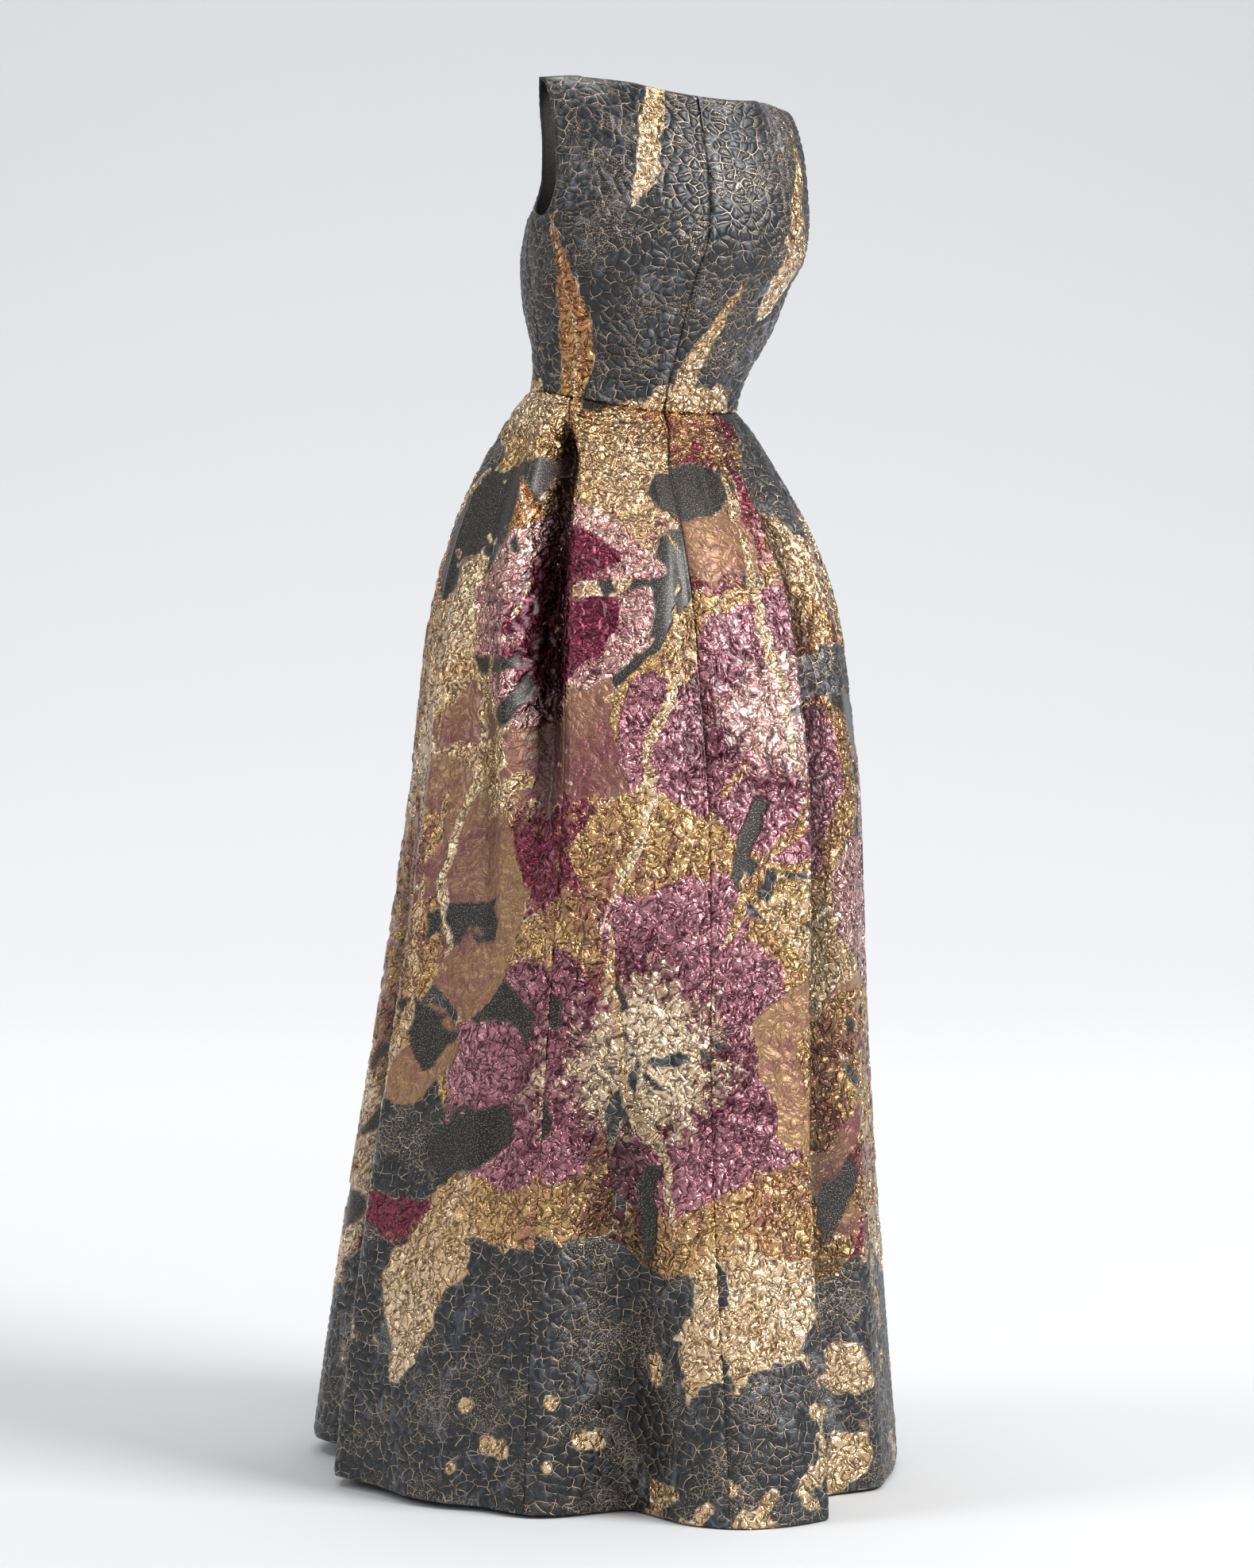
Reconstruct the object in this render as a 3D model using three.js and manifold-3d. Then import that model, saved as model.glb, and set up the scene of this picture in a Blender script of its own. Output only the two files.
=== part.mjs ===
// A sleeveless, floor-length ball gown that closes with a zip down the centre of its back, worn.
// Millimetres, +Z up. The front faces -Y and the wearer's left is +X.
// The origin is midway between the two shoulder seams, where the wearer holds the gown up.
import * as THREE from "three";
import { mergeVertices } from "three/addons/utils/BufferGeometryUtils.js";
import Module from "manifold-3d";

const wasm = await Module();
wasm.setup();

// Cloth
const WALL = 2;
const SEAM_GAP = 0.3;

// The gown is drawn round an upright line through the middle of its waist, and then moved so that
// the point between the shoulder seams is the origin.
const SHOULDER_POINT = { x: -28, y: 14, z: -10 };
const WAIST_HEIGHT = -370;
const SKIRT_LENGTH = 1190;

// The upper body leans: its sections tip towards the wearer's right, more so at the shoulders.
const TIP_AT_WAIST = 5;
const TIP_AT_SHOULDER = 6;
// The waist seam is this much lower at the centre than 100 mm out from it.
const WAIST_DIP = 9;

// Sections of the upper body. height is the middle of the section, x and y its centre, and half,
// back and front are how far it reaches to each side, behind and before that centre.
const BODICE_SECTIONS = [
  { height: -370, x: 0, y: 0, half: 121, back: 88, front: 88 },
  { height: -330, x: -4, y: 9, half: 124, back: 88, front: 101 },
  { height: -294, x: -8, y: 21, half: 135, back: 90, front: 121 },
  { height: -262, x: -11, y: 30, half: 146, back: 93, front: 136 },
  { height: -212, x: -16, y: 47, half: 154, back: 99, front: 150 },
  { height: -186, x: -23, y: 52, half: 160, back: 101, front: 147 },
  { height: -148, x: -29, y: 50, half: 163, back: 99, front: 130 },
  { height: -118, x: -32, y: 45, half: 163, back: 95, front: 113 },
  { height: -75, x: -34, y: 36, half: 162, back: 90, front: 91 },
  { height: -40, x: -33, y: 29, half: 161, back: 86, front: 77 },
  { height: 20, x: -32, y: 22, half: 160, back: 82, front: 68 },
];

// Sections of the skirt, by how far each lies below the waist.
const SKIRT_SECTIONS = [
  { drop: 0, x: 0, y: 0, half: 121, back: 88, front: 88 },
  { drop: 15, x: 1, y: 2, half: 134, back: 102, front: 99 },
  { drop: 30, x: 2, y: 4, half: 145, back: 115, front: 109 },
  { drop: 55, x: 4, y: 8, half: 160, back: 134, front: 125 },
  { drop: 100, x: 8, y: 18, half: 185, back: 164, front: 152 },
  { drop: 150, x: 11, y: 28, half: 208, back: 192, front: 176 },
  { drop: 210, x: 15, y: 40, half: 227, back: 216, front: 198 },
  { drop: 270, x: 20, y: 50, half: 238, back: 233, front: 216 },
  { drop: 410, x: 28, y: 66, half: 251, back: 262, front: 240 },
  { drop: 540, x: 35, y: 66, half: 260, back: 284, front: 260 },
  { drop: 705, x: 43, y: 58, half: 273, back: 311, front: 278 },
  { drop: 870, x: 49, y: 51, half: 289, back: 338, front: 299 },
  { drop: 1035, x: 53, y: 45, half: 305, back: 364, front: 320 },
  { drop: 1190, x: 56, y: 41, half: 320, back: 390, front: 340 },
];

// Folds of the skirt. waist, hip and hem are where a fold runs at those heights, in degrees round
// from the centre back, towards the wearer's left. start, full, fade and end are shares of the
// skirt's length. high and low are how far the fold stands out in millimetres at the top and the
// bottom of the skirt, or lies in where they are negative. before and after are its half-widths in
// degrees towards the smaller and the larger angle. crisp is 0 for a rounded fold and 1 for a
// pressed one.
const FOLDS = table(
  ["name", "waist", "hip", "hem", "start", "full", "fade", "end", "high", "low", "before", "after", "crisp"],
  ["left pleat crest", 64, 58, 58, 0, 0.06, 0.25, 0.5, 22, 22, 9, 14, 0.4],
  ["left pleat recess", 55, 48, 48, 0, 0.06, 0.22, 0.52, -34, -34, 8, 9, 0.2],
  ["left panel edge", 50, 40, 40, 0, 0.05, 0.3, 0.6, 7, 7, 12, 5, 0.8],
  ["left small valley", 66, 63, 63, 0.2, 0.3, 0.38, 0.55, -11, -11, 7, 9, 0],
  ["centre back fold", 1, 7, 7, 0.1, 0.18, 0.26, 0.46, -9, -9, 5, 11, 0.3],
  ["right pleat edge", -50, -21, -12, 0, 0.06, 1, 2, 14, 34, 6, 17, 0.6],
  ["right pleat recess", -62, -32, -25, 0, 0.08, 1, 2, -12, -34, 17, 9, 0.1],
  ["back lobe", 0, 1, 2, 0.4, 1, 1, 2, 0, 48, 22, 16, 0],
  ["centre valley", 24, 28, 24, 0.42, 1, 1, 2, -12, -62, 13, 19, 0.1],
  ["left lobe", 66, 66, 66, 0.5, 1, 1, 2, 0, 14, 16, 14, 0],
  ["left side crest", 76, 80, 84, 0.1, 0.3, 1, 2, 14, 25, 15, 9, 0.5],
  ["left side valley", 96, 99, 99, 0.18, 0.7, 1, 2, -12, -44, 12, 16, 0],
  ["left front pleat recess", 124, 131, 131, 0, 0.06, 0.3, 0.6, -26, -26, 9, 8, 0.2],
  ["left front pleat edge", 130, 139, 139, 0, 0.06, 0.4, 0.8, 9, 9, 6, 12, 0.7],
  ["left front lobe", 120, 120, 120, 0.4, 1, 1, 2, 0, 10, 12, 16, 0],
  ["left front valley", 146, 150, 150, 0.4, 1, 1, 2, -8, -42, 14, 14, 0],
  ["front lobe", 178, 174, 174, 0.35, 1, 1, 2, 0, 26, 16, 18, 0],
  ["right front valley", 210, 204, 204, 0.38, 1, 1, 2, -6, -50, 15, 17, 0],
  ["right front pleat edge", 230, 222, 222, 0, 0.06, 0.4, 0.75, 9, 9, 12, 6, 0.7],
  ["right front pleat recess", 236, 229, 229, 0, 0.06, 0.3, 0.58, -26, -26, 8, 9, 0.2],
  ["right front lobe", 238, 236, 236, 0.45, 1, 1, 2, 0, 20, 15, 15, 0],
  ["right side valley", 262, 264, 264, 0.3, 1, 1, 2, -5, -30, 13, 15, 0],
  ["right side crest", 288, 290, 290, 0.25, 0.8, 1, 2, 4, 5, 14, 14, 0.2],
);
// Folds and seams have moved from their place at the waist to that at the hip over this share.
const HIP_SHARE = 0.06;

// The hem clears the floor a little more in front than behind.
const HEM_RISE_FRONT = 24;

// Seams of the skirt, in the same angles as its folds.
const CENTRE_BACK = { waist: 0, hip: 6, hem: 6 };
const LEFT_BACK_SEAM = { waist: 54, hip: 43, hem: 43 };
const LEFT_SIDE_SEAM = { waist: 100, hip: 104, hem: 104 };
const RIGHT_SIDE_SEAM = { waist: 260, hip: 254, hem: 254 };
const RIGHT_BACK_SEAM = { waist: 304, hip: 332, hem: 340 };
const CENTRE_BACK_AGAIN = { waist: 360, hip: 366, hem: 366 };
const SKIRT_PANELS = [
  { name: "skirt_back_left", from: CENTRE_BACK, to: LEFT_BACK_SEAM, columns: 13, color: 0x8e6a4e },
  { name: "skirt_side_left", from: LEFT_BACK_SEAM, to: LEFT_SIDE_SEAM, columns: 18, color: 0xa07c55 },
  { name: "skirt_front", from: LEFT_SIDE_SEAM, to: RIGHT_SIDE_SEAM, columns: 28, color: 0x8a6650 },
  { name: "skirt_side_right", from: RIGHT_SIDE_SEAM, to: RIGHT_BACK_SEAM, columns: 16, color: 0x9a7450 },
  { name: "skirt_back_right", from: RIGHT_BACK_SEAM, to: CENTRE_BACK_AGAIN, columns: 12, color: 0x7d4a58 },
];
// Rows of corners down the skirt, crowded towards the waist by this power.
const SKIRT_ROWS = 16;
const ROW_CROWDING = 1.55;

// Neck, shoulders and armholes, in the upper body's own sections before they tip.
const NECK_POINT = 116;
const SHOULDER_TIP = 156;
const NECK_POINT_HEIGHT = -2;
const SHOULDER_TIP_HEIGHT = -9;
const BACK_NECK_HEIGHT = -17;
const FRONT_NECK_HEIGHT = -30;
const SHOULDER_SEAM_Y = 17;
const SHOULDER_ROUND = 52;
const NECK_CURVE = 2.2;
const UNDERARM_HEIGHT = -166;
const ARMHOLE_SWEEP = 46;
// How far from the middle the armhole's edge lies above its sweep, behind and in front.
const BACK_ARMHOLE = 158;
const FRONT_ARMHOLE = 142;
// The shares of the side edge below the underarm, and of the armhole that is its sweep.
const UNDERARM_SHARE = 0.51;
const SWEEP_SHARE = 0.38;
const BODICE_COLUMNS = { neck: 7, shoulder: 3 };
const NECK_SHARE = BODICE_COLUMNS.neck / (BODICE_COLUMNS.neck + BODICE_COLUMNS.shoulder);
// Shares up the upper body at which its wall has a row of corners, closest round the underarm.
const BODICE_ROWS = [
  0, 0.085, 0.17, 0.26, 0.345, 0.43, UNDERARM_SHARE, 0.55, 0.59, 0.63, 0.68, 0.74, 0.81, 0.88, 0.95, 1,
];

// Darts of the upper body. face is 1 behind and -1 in front. across and width are shares of the
// half panel, low and high are shares of its height, and depth is how far the cloth dips.
const DARTS = [
  { face: 1, across: 0.56, low: 0, high: 0.5, depth: 2.2, width: 0.07 },
  { face: 1, across: 0.47, low: 0.86, high: 1.05, depth: 1.4, width: 0.06 },
  { face: -1, across: 0.52, low: 0, high: 0.46, depth: 2.2, width: 0.07 },
];
// The bust is shaped by the front darts: two soft rises on a general figure.
const BUST = { across: 0.5, height: -196, rise: 13, width: 0.34, tall: 62 };
const SHOULDER_BLADE = { across: 0.5, height: -120, rise: 4, width: 0.3, tall: 60 };
// The rises fade out between these shares, so that the seams stay on the sections.
const RISE_FADES = { middle: 0.12, side: 0.88 };
// The cloth starts to round over towards the shoulder at this share across.
const SHOULDER_ROUND_FROM = 0.42;

// Zip. It ends at this share of the skirt's length. Its tape is as wide as TAPE_WIDTH on the upper
// body and as TAPE_ANGLE, in degrees, on the skirt, where it has rows of corners at TAPE_STEPS.
const ZIP_END = 0.062;
const TAPE_WIDTH = 12;
const TAPE_ANGLE = 7;
const TAPE_STEPS = [0, 0.2, 0.5, 1];
const TAPE_CLEAR = 0.7;
const TAPE_THICKNESS = 0.8;
// The slider's plate, how far below the neck edge it sits, its two lugs, and the pin between them.
const SLIDER = {
  width: 3.9,
  height: 6.4,
  thickness: 0.9,
  below: 4.2,
  lug: 0.6,
  lugHeight: 2.2,
  lugFoot: 0.3,
  lift: 2.3,
  pin: 0.5,
};
// The pull tab's flat ring, its eye round the pin, and how far below the eye its shoulders and
// its slot begin.
const PULL = {
  width: 3.6,
  length: 10.5,
  thickness: 0.8,
  eye: 1.15,
  hole: 0.8,
  eyeWidth: 2,
  shoulders: 1.8,
  slot: 1.5,
  slotTop: 2.6,
};
const BAR_SIDES = 20;

// Finishes
const SKIRT_CLOTH = { roughness: 0.42, metalness: 0.55 };
const BODICE_CLOTH = { roughness: 0.5, metalness: 0.3 };
const BODICE_COLOR = 0x34363a;
const TAPE_CLOTH = { roughness: 0.7, metalness: 0 };
const TAPE_COLOR = 0x5d5a66;
const METAL = { roughness: 0.3, metalness: 0.9 };
const METAL_COLOR = 0x6d7480;

const DEGREE = Math.PI / 180;

function smooth(from, to, at) {
  const share = Math.min(1, Math.max(0, (at - from) / (to - from)));
  return share * share * (3 - 2 * share);
}

function mix(a, b, share) {
  return a + (b - a) * share;
}

// Rows of values, each named by its column.
function table(columns, ...rows) {
  return rows.map((row) => Object.fromEntries(columns.map((key, i) => [key, row[i]])));
}

// A smooth value through a table's rows, by the column that orders them.
function through(rows, by, key, at) {
  let row = 0;
  while (row < rows.length - 2 && at > rows[row + 1][by]) row += 1;
  const slope = (i) => {
    const low = rows[Math.max(0, i - 1)];
    const high = rows[Math.min(rows.length - 1, i + 1)];
    return (high[key] - low[key]) / (high[by] - low[by]);
  };
  const a = rows[row];
  const b = rows[row + 1];
  const span = b[by] - a[by];
  const t = Math.min(1, Math.max(0, (at - a[by]) / span));
  const bend = t * t * (3 - 2 * t);
  return (
    mix(a[key], b[key], bend) +
    span * slope(row) * t * (1 - t) * (1 - t) -
    span * slope(row + 1) * t * t * (1 - t)
  );
}

// The height of the waist seam at a distance across from the middle.
function waistHeight(across) {
  const tip = Math.sin(TIP_AT_WAIST * DEGREE);
  return WAIST_HEIGHT + across * tip + WAIST_DIP * (across / 100) ** 2;
}

// Where a fold or a seam runs round the skirt at a share of its length.
function lineAngle(line, share) {
  const hip = mix(line.waist, line.hip, smooth(0, HIP_SHARE, share));
  return mix(hip, line.hem, smooth(HIP_SHARE, 1, share));
}

// How far one fold stands out at an angle and a share of the skirt's length.
function foldAt(fold, degrees, share) {
  let away = (((degrees - lineAngle(fold, share)) % 360) + 540) % 360 - 180;
  away /= away < 0 ? -fold.before : fold.after;
  if (away >= 1) return 0;
  const round = Math.cos((away * Math.PI) / 2) ** 2;
  const pressed = (1 - away) ** 2;
  const rise = smooth(fold.start - 1e-6, fold.full, share);
  const left = 1 - smooth(fold.fade, fold.end, share);
  return mix(fold.high, fold.low, share) * rise * left * mix(round, pressed, fold.crisp);
}

// A point of the skirt's outer face.
function skirtPoint(degrees, share) {
  const drop = share * SKIRT_LENGTH;
  const size = (key) => through(SKIRT_SECTIONS, "drop", key, drop);
  const angle = degrees * DEGREE;
  const across = size("half") * Math.sin(angle);
  const behind = Math.cos(angle);
  const depth = behind > 0 ? size("back") : size("front");
  let out = 0;
  for (const fold of FOLDS) out += foldAt(fold, degrees, share);
  const normal = new THREE.Vector2(across / size("half") ** 2, behind / depth).normalize();
  const top = waistHeight(SKIRT_SECTIONS[0].half * Math.sin(angle)) - SEAM_GAP / 2;
  const bottom = WAIST_HEIGHT - SKIRT_LENGTH + HEM_RISE_FRONT * (0.5 - 0.5 * Math.cos(angle));
  return new THREE.Vector3(
    size("x") + across + normal.x * out,
    size("y") + depth * behind + normal.y * out,
    mix(top, bottom, share),
  );
}

// A soft rise or hollow centred on a place of the upper body.
function swell(shape, across, height) {
  const sideways = (across - shape.across) / shape.width;
  const upright = (height - shape.height) / shape.tall;
  return shape.rise * Math.exp(-sideways * sideways - upright * upright);
}

// The angle round from the middle at which the upper body is this wide at a height.
function angleAt(sideways, height) {
  return Math.asin(Math.min(1, sideways / through(BODICE_SECTIONS, "height", "half", height)));
}

// The side edge of a half panel: the side seam up to the underarm, then the armhole.
function sideEdge(face, up) {
  if (up <= UNDERARM_SHARE) {
    const seamFoot = waistEdge(1).height;
    return { angle: Math.PI / 2, height: mix(seamFoot, UNDERARM_HEIGHT, up / UNDERARM_SHARE) };
  }
  const share = (up - UNDERARM_SHARE) / (1 - UNDERARM_SHARE);
  const reach = face > 0 ? BACK_ARMHOLE : FRONT_ARMHOLE;
  const sweepTop = UNDERARM_HEIGHT + ARMHOLE_SWEEP;
  const sweepAngle = angleAt(reach, sweepTop);
  if (share <= SWEEP_SHARE) {
    const turn = ((share / SWEEP_SHARE) * Math.PI) / 2;
    return {
      angle: mix(Math.PI / 2, sweepAngle, Math.sin(turn)),
      height: mix(sweepTop, UNDERARM_HEIGHT, Math.cos(turn)),
    };
  }
  const rest = (share - SWEEP_SHARE) / (1 - SWEEP_SHARE);
  const height = mix(sweepTop, SHOULDER_TIP_HEIGHT, rest);
  return { angle: angleAt(mix(reach, SHOULDER_TIP, rest), height), height };
}

// The waist edge of a half panel, in the section's own plane.
function waistEdge(across) {
  const angle = (across * Math.PI) / 2;
  const sideways = BODICE_SECTIONS[0].half * Math.sin(angle);
  return { angle, height: WAIST_HEIGHT + WAIST_DIP * (sideways / 100) ** 2 };
}

// The top edge of a half panel: the neckline to the neck point, then the shoulder seam.
function topEdge(face, across) {
  const alongNeck = Math.min(1, across / NECK_SHARE);
  const alongSeam = Math.max(0, (across - NECK_SHARE) / (1 - NECK_SHARE));
  const middle = face > 0 ? BACK_NECK_HEIGHT : FRONT_NECK_HEIGHT;
  const height = across < NECK_SHARE
    ? mix(middle, NECK_POINT_HEIGHT, alongNeck ** NECK_CURVE)
    : mix(NECK_POINT_HEIGHT, SHOULDER_TIP_HEIGHT, alongSeam);
  const sideways = across < NECK_SHARE ? NECK_POINT * alongNeck : mix(NECK_POINT, SHOULDER_TIP, alongSeam);
  return { angle: angleAt(sideways, height), height };
}

// Where a share across and up a half panel of the upper body lies, blended between its four edges:
// its angle round from the middle and its height. face is 1 behind and -1 in front.
function bodicePlace(face, across, up) {
  const side = sideEdge(face, up);
  const waist = waistEdge(across);
  const top = topEdge(face, across);
  const foot = waistEdge(1);
  const tip = topEdge(face, 1);
  const neck = topEdge(face, 0);
  const blend = (key, middle) =>
    mix(middle, side[key], across) +
    mix(waist[key], top[key], up) -
    mix(mix(waistEdge(0)[key], foot[key], across), mix(neck[key], tip[key], across), up);
  return {
    angle: blend("angle", 0),
    height: blend("height", mix(WAIST_HEIGHT, neck.height, up)),
    top: top.height,
  };
}

// How far darts and shaping move the upper body's face in or out.
function shaping(face, across, up, height) {
  const atSide = 1 - smooth(RISE_FADES.side, 1, across);
  let out = 0;
  if (face > 0) {
    out += swell(SHOULDER_BLADE, across, height) * smooth(0, RISE_FADES.middle, across) * atSide;
  } else {
    out += swell(BUST, across, height) * atSide;
    out += swell({ ...BUST, across: -BUST.across }, across, height);
  }
  for (const dart of DARTS) {
    if (dart.face !== face) continue;
    const near = Math.max(0, 1 - Math.abs(across - dart.across) / dart.width);
    const begun = dart.low === 0 ? 1 : smooth(dart.low, dart.low + 0.1, up);
    out -= dart.depth * near * begun * (1 - smooth(dart.high - 0.3, dart.high, up));
  }
  return out;
}

// A point of the upper body's outer face. side is 1 on the wearer's left and -1 on the right.
function bodiceSurface(face, side, across, up, { angle, height, top }) {
  const size = (key) => through(BODICE_SECTIONS, "height", key, height);
  const half = size("half");
  const depth = face > 0 ? size("back") : size("front");
  // The cloth rounds over the shoulder to its seam.
  const nearStrap = smooth(SHOULDER_ROUND_FROM, NECK_SHARE, across);
  const nearTop = Math.max(0, 1 - (top - height) / SHOULDER_ROUND);
  const turn = Math.sqrt(Math.max(0, 1 - nearStrap * nearTop * nearTop));
  const y = mix(SHOULDER_SEAM_Y, size("y") + face * depth * Math.cos(angle), turn);
  const out = shaping(face, across, up, height);
  const tip = mix(TIP_AT_WAIST, TIP_AT_SHOULDER, up) * DEGREE;
  const normal = new THREE.Vector2(Math.sin(angle) / half, (face * Math.cos(angle)) / depth).normalize();
  const local = side * (half * Math.sin(angle) + normal.x * out);
  return new THREE.Vector3(
    size("x") + local * Math.cos(tip),
    y + normal.y * out,
    height + local * Math.sin(tip),
  );
}

// A point of the upper body's outer face and its outward normal.
function bodiceCell(face, side, across, up) {
  const place = bodicePlace(face, across, up);
  const near = (turned, raised) => {
    const moved = { ...place, angle: place.angle + turned, height: place.height + raised };
    return bodiceSurface(face, side, across, up, moved);
  };
  const at = near(0, 0);
  const below = near(0, -1);
  const round = near(0.01, 0).sub(near(-0.01, 0)).multiplyScalar(side * face);
  const normal = at.clone().sub(below).cross(round).normalize();
  // Back and front meet over the shoulder on one shared normal.
  if (up === 1 && across >= NECK_SHARE) normal.setY(0).normalize();
  return { at, normal };
}

// A point of the skirt's outer face and its outward normal.
function skirtCell(degrees, share) {
  const turn = 0.2;
  const step = 1e-3;
  const round = skirtPoint(degrees + turn, share).sub(skirtPoint(degrees - turn, share));
  const above = skirtPoint(degrees, Math.max(0, share - step));
  const down = skirtPoint(degrees, Math.min(1, share + step)).sub(above);
  return { at: skirtPoint(degrees, share), normal: round.cross(down).normalize() };
}

// The cells of a panel on a grid of its shares, with its edges drawn in by half a seam's gap.
function grid(cell, us, vs) {
  const inset = SEAM_GAP / 2;
  const last = { u: us.length - 1, v: vs.length - 1 };
  return us.map((u, i) =>
    vs.map((v, j) => {
      const { at, normal } = cell(u, v);
      const start = at.clone();
      const drawIn = (toU, toV) => at.addScaledVector(cell(toU, toV).at.sub(start).normalize(), inset);
      if (i === 0) drawIn(us[1], v);
      if (i === last.u) drawIn(us[last.u - 1], v);
      if (j === 0) drawIn(u, vs[1]);
      if (j === last.v) drawIn(u, vs[last.v - 1]);
      return { at, normal };
    }),
  );
}

// A closed wall between two depths under a grid of points.
function wall(cells, outer, inner) {
  const columns = cells.length;
  const rows = cells[0].length;
  const positions = [];
  for (const depth of [outer, inner]) {
    for (const column of cells) {
      for (const cell of column) {
        const p = cell.at.clone().addScaledVector(cell.normal, -depth);
        positions.push(p.x, p.y, p.z);
      }
    }
  }
  const index = [];
  const at = (layer, i, j) => layer * columns * rows + i * rows + j;
  const apart = (a, b) => {
    const along = [0, 1, 2].map((k) => positions[3 * a + k] - positions[3 * b + k]);
    return Math.hypot(...along);
  };
  // Each quad is split along its shorter diagonal, which keeps slanting quads on the surface.
  const quad = (a, b, c, d) => {
    if (apart(a, c) <= apart(b, d)) index.push(a, b, c, a, c, d);
    else index.push(b, c, d, b, d, a);
  };
  for (let i = 0; i < columns - 1; i += 1) {
    for (let j = 0; j < rows - 1; j += 1) {
      quad(at(0, i, j), at(0, i + 1, j), at(0, i + 1, j + 1), at(0, i, j + 1));
      quad(at(1, i, j), at(1, i, j + 1), at(1, i + 1, j + 1), at(1, i + 1, j));
    }
  }
  for (let i = 0; i < columns - 1; i += 1) {
    quad(at(0, i, 0), at(1, i, 0), at(1, i + 1, 0), at(0, i + 1, 0));
    quad(at(0, i, rows - 1), at(0, i + 1, rows - 1), at(1, i + 1, rows - 1), at(1, i, rows - 1));
  }
  for (let j = 0; j < rows - 1; j += 1) {
    quad(at(0, 0, j), at(0, 0, j + 1), at(1, 0, j + 1), at(1, 0, j));
    const i = columns - 1;
    quad(at(0, i, j), at(1, i, j), at(1, i, j + 1), at(0, i, j + 1));
  }
  const geometry = new THREE.BufferGeometry();
  geometry.setAttribute("position", new THREE.Float32BufferAttribute(positions, 3));
  geometry.setIndex(index);
  return facingOut(geometry);
}

// The same geometry with its faces turned out.
function facingOut(geometry) {
  const p = geometry.getAttribute("position");
  const index = geometry.getIndex().array;
  const a = new THREE.Vector3();
  const b = new THREE.Vector3();
  const c = new THREE.Vector3();
  let volume = 0;
  for (let i = 0; i < index.length; i += 3) {
    a.fromBufferAttribute(p, index[i]);
    b.fromBufferAttribute(p, index[i + 1]);
    c.fromBufferAttribute(p, index[i + 2]);
    volume += a.dot(b.cross(c));
  }
  if (volume < 0) {
    for (let i = 0; i < index.length; i += 3) {
      [index[i + 1], index[i + 2]] = [index[i + 2], index[i + 1]];
    }
  }
  geometry.computeVertexNormals();
  return geometry;
}

function shares(count) {
  return Array.from({ length: count + 1 }, (_, i) => i / count);
}

function mesh(name, geometry, color, finish) {
  const material = new THREE.MeshStandardMaterial({ color, ...finish });
  const made = new THREE.Mesh(geometry, material);
  made.name = name;
  return made;
}

// One panel of the skirt, between its two seams.
function skirtPanel(panel) {
  const cell = (u, v) => skirtCell(mix(lineAngle(panel.from, v), lineAngle(panel.to, v), u), v);
  const rows = shares(SKIRT_ROWS).map((share) => share ** ROW_CROWDING);
  const cells = grid(cell, shares(panel.columns), rows);
  return mesh(panel.name, wall(cells, 0, WALL), panel.color, SKIRT_CLOTH);
}

// The shares across a half panel: even to the neck point, even along the shoulder, and at its darts.
function bodiceShares(face) {
  const even = shares(BODICE_COLUMNS.neck + BODICE_COLUMNS.shoulder);
  const darts = DARTS.filter((dart) => dart.face === face).map((dart) => dart.across);
  return [...even, ...darts].sort((a, b) => a - b);
}

// One half of the back, from the centre seam to the side.
function bodiceBack(name, side) {
  const cells = grid((u, v) => bodiceCell(1, side, u, v), bodiceShares(1), BODICE_ROWS);
  return mesh(name, wall(cells, 0, WALL), BODICE_COLOR, BODICE_CLOTH);
}

// The front, in one piece from side to side.
function bodiceFront() {
  const cell = (u, v) => bodiceCell(-1, u < 0.5 ? -1 : 1, Math.abs(2 * u - 1), v);
  const half = bodiceShares(-1);
  const right = half.map((share) => (1 - share) / 2).reverse();
  const left = half.slice(1).map((share) => (1 + share) / 2);
  const cells = grid(cell, [...right, ...left], BODICE_ROWS);
  return mesh("bodice_front", wall(cells, 0, WALL), BODICE_COLOR, BODICE_CLOTH);
}

// One tape of the zip, which lies inside along the centre seam, from the neck to below the waist.
function zipTape(name, side) {
  const onBack = (u, v) => bodiceCell(1, side, u, v).at;
  const reach = (v) => {
    const near = 0.05;
    return (TAPE_WIDTH * near) / onBack(near, v).distanceTo(onBack(0, v));
  };
  const rows = BODICE_ROWS.slice(1, -1).reverse();
  const bodice = rows.map((v) => (u) => onBack(u * reach(v), v));
  const skirt = TAPE_STEPS.map((step) => {
    const share = step * ZIP_END;
    return (u) => skirtPoint(lineAngle(CENTRE_BACK, share) + side * u * TAPE_ANGLE, share);
  });
  const lines = [...bodice, ...skirt];
  const cells = [0, 1].map((u) =>
    lines.map((line, j) => {
      const at = line(u);
      const before = lines[Math.max(0, j - 1)](u);
      const after = lines[Math.min(lines.length - 1, j + 1)](u);
      const along = after.clone().sub(before);
      const across = line(1).sub(line(0)).normalize();
      const normal = along.cross(across).normalize();
      if (normal.y < 0) normal.negate();
      if (u === 0) at.addScaledVector(across, SEAM_GAP / 2);
      return { at, normal };
    }),
  );
  const depth = WALL + TAPE_CLEAR;
  return mesh(name, wall(cells, depth, depth + TAPE_THICKNESS), TAPE_COLOR, TAPE_CLOTH);
}

// A closed mesh as a solid that can be joined or cut.
function solid(geometry) {
  const bare = geometry.clone();
  bare.deleteAttribute("normal");
  bare.deleteAttribute("uv");
  const merged = mergeVertices(bare, 1e-4);
  return new wasm.Manifold(
    new wasm.Mesh({
      numProp: 3,
      vertProperties: merged.getAttribute("position").array,
      triVerts: new Uint32Array(merged.getIndex().array),
    }),
  );
}

function geometryOf(made) {
  const result = made.getMesh();
  const geometry = new THREE.BufferGeometry();
  geometry.setAttribute("position", new THREE.Float32BufferAttribute(result.vertProperties, 3));
  geometry.setIndex([...result.triVerts]);
  geometry.computeVertexNormals();
  return geometry;
}

function block(width, depth, height, x, y, z) {
  return solid(new THREE.BoxGeometry(width, depth, height).translate(x, y, z));
}

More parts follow.
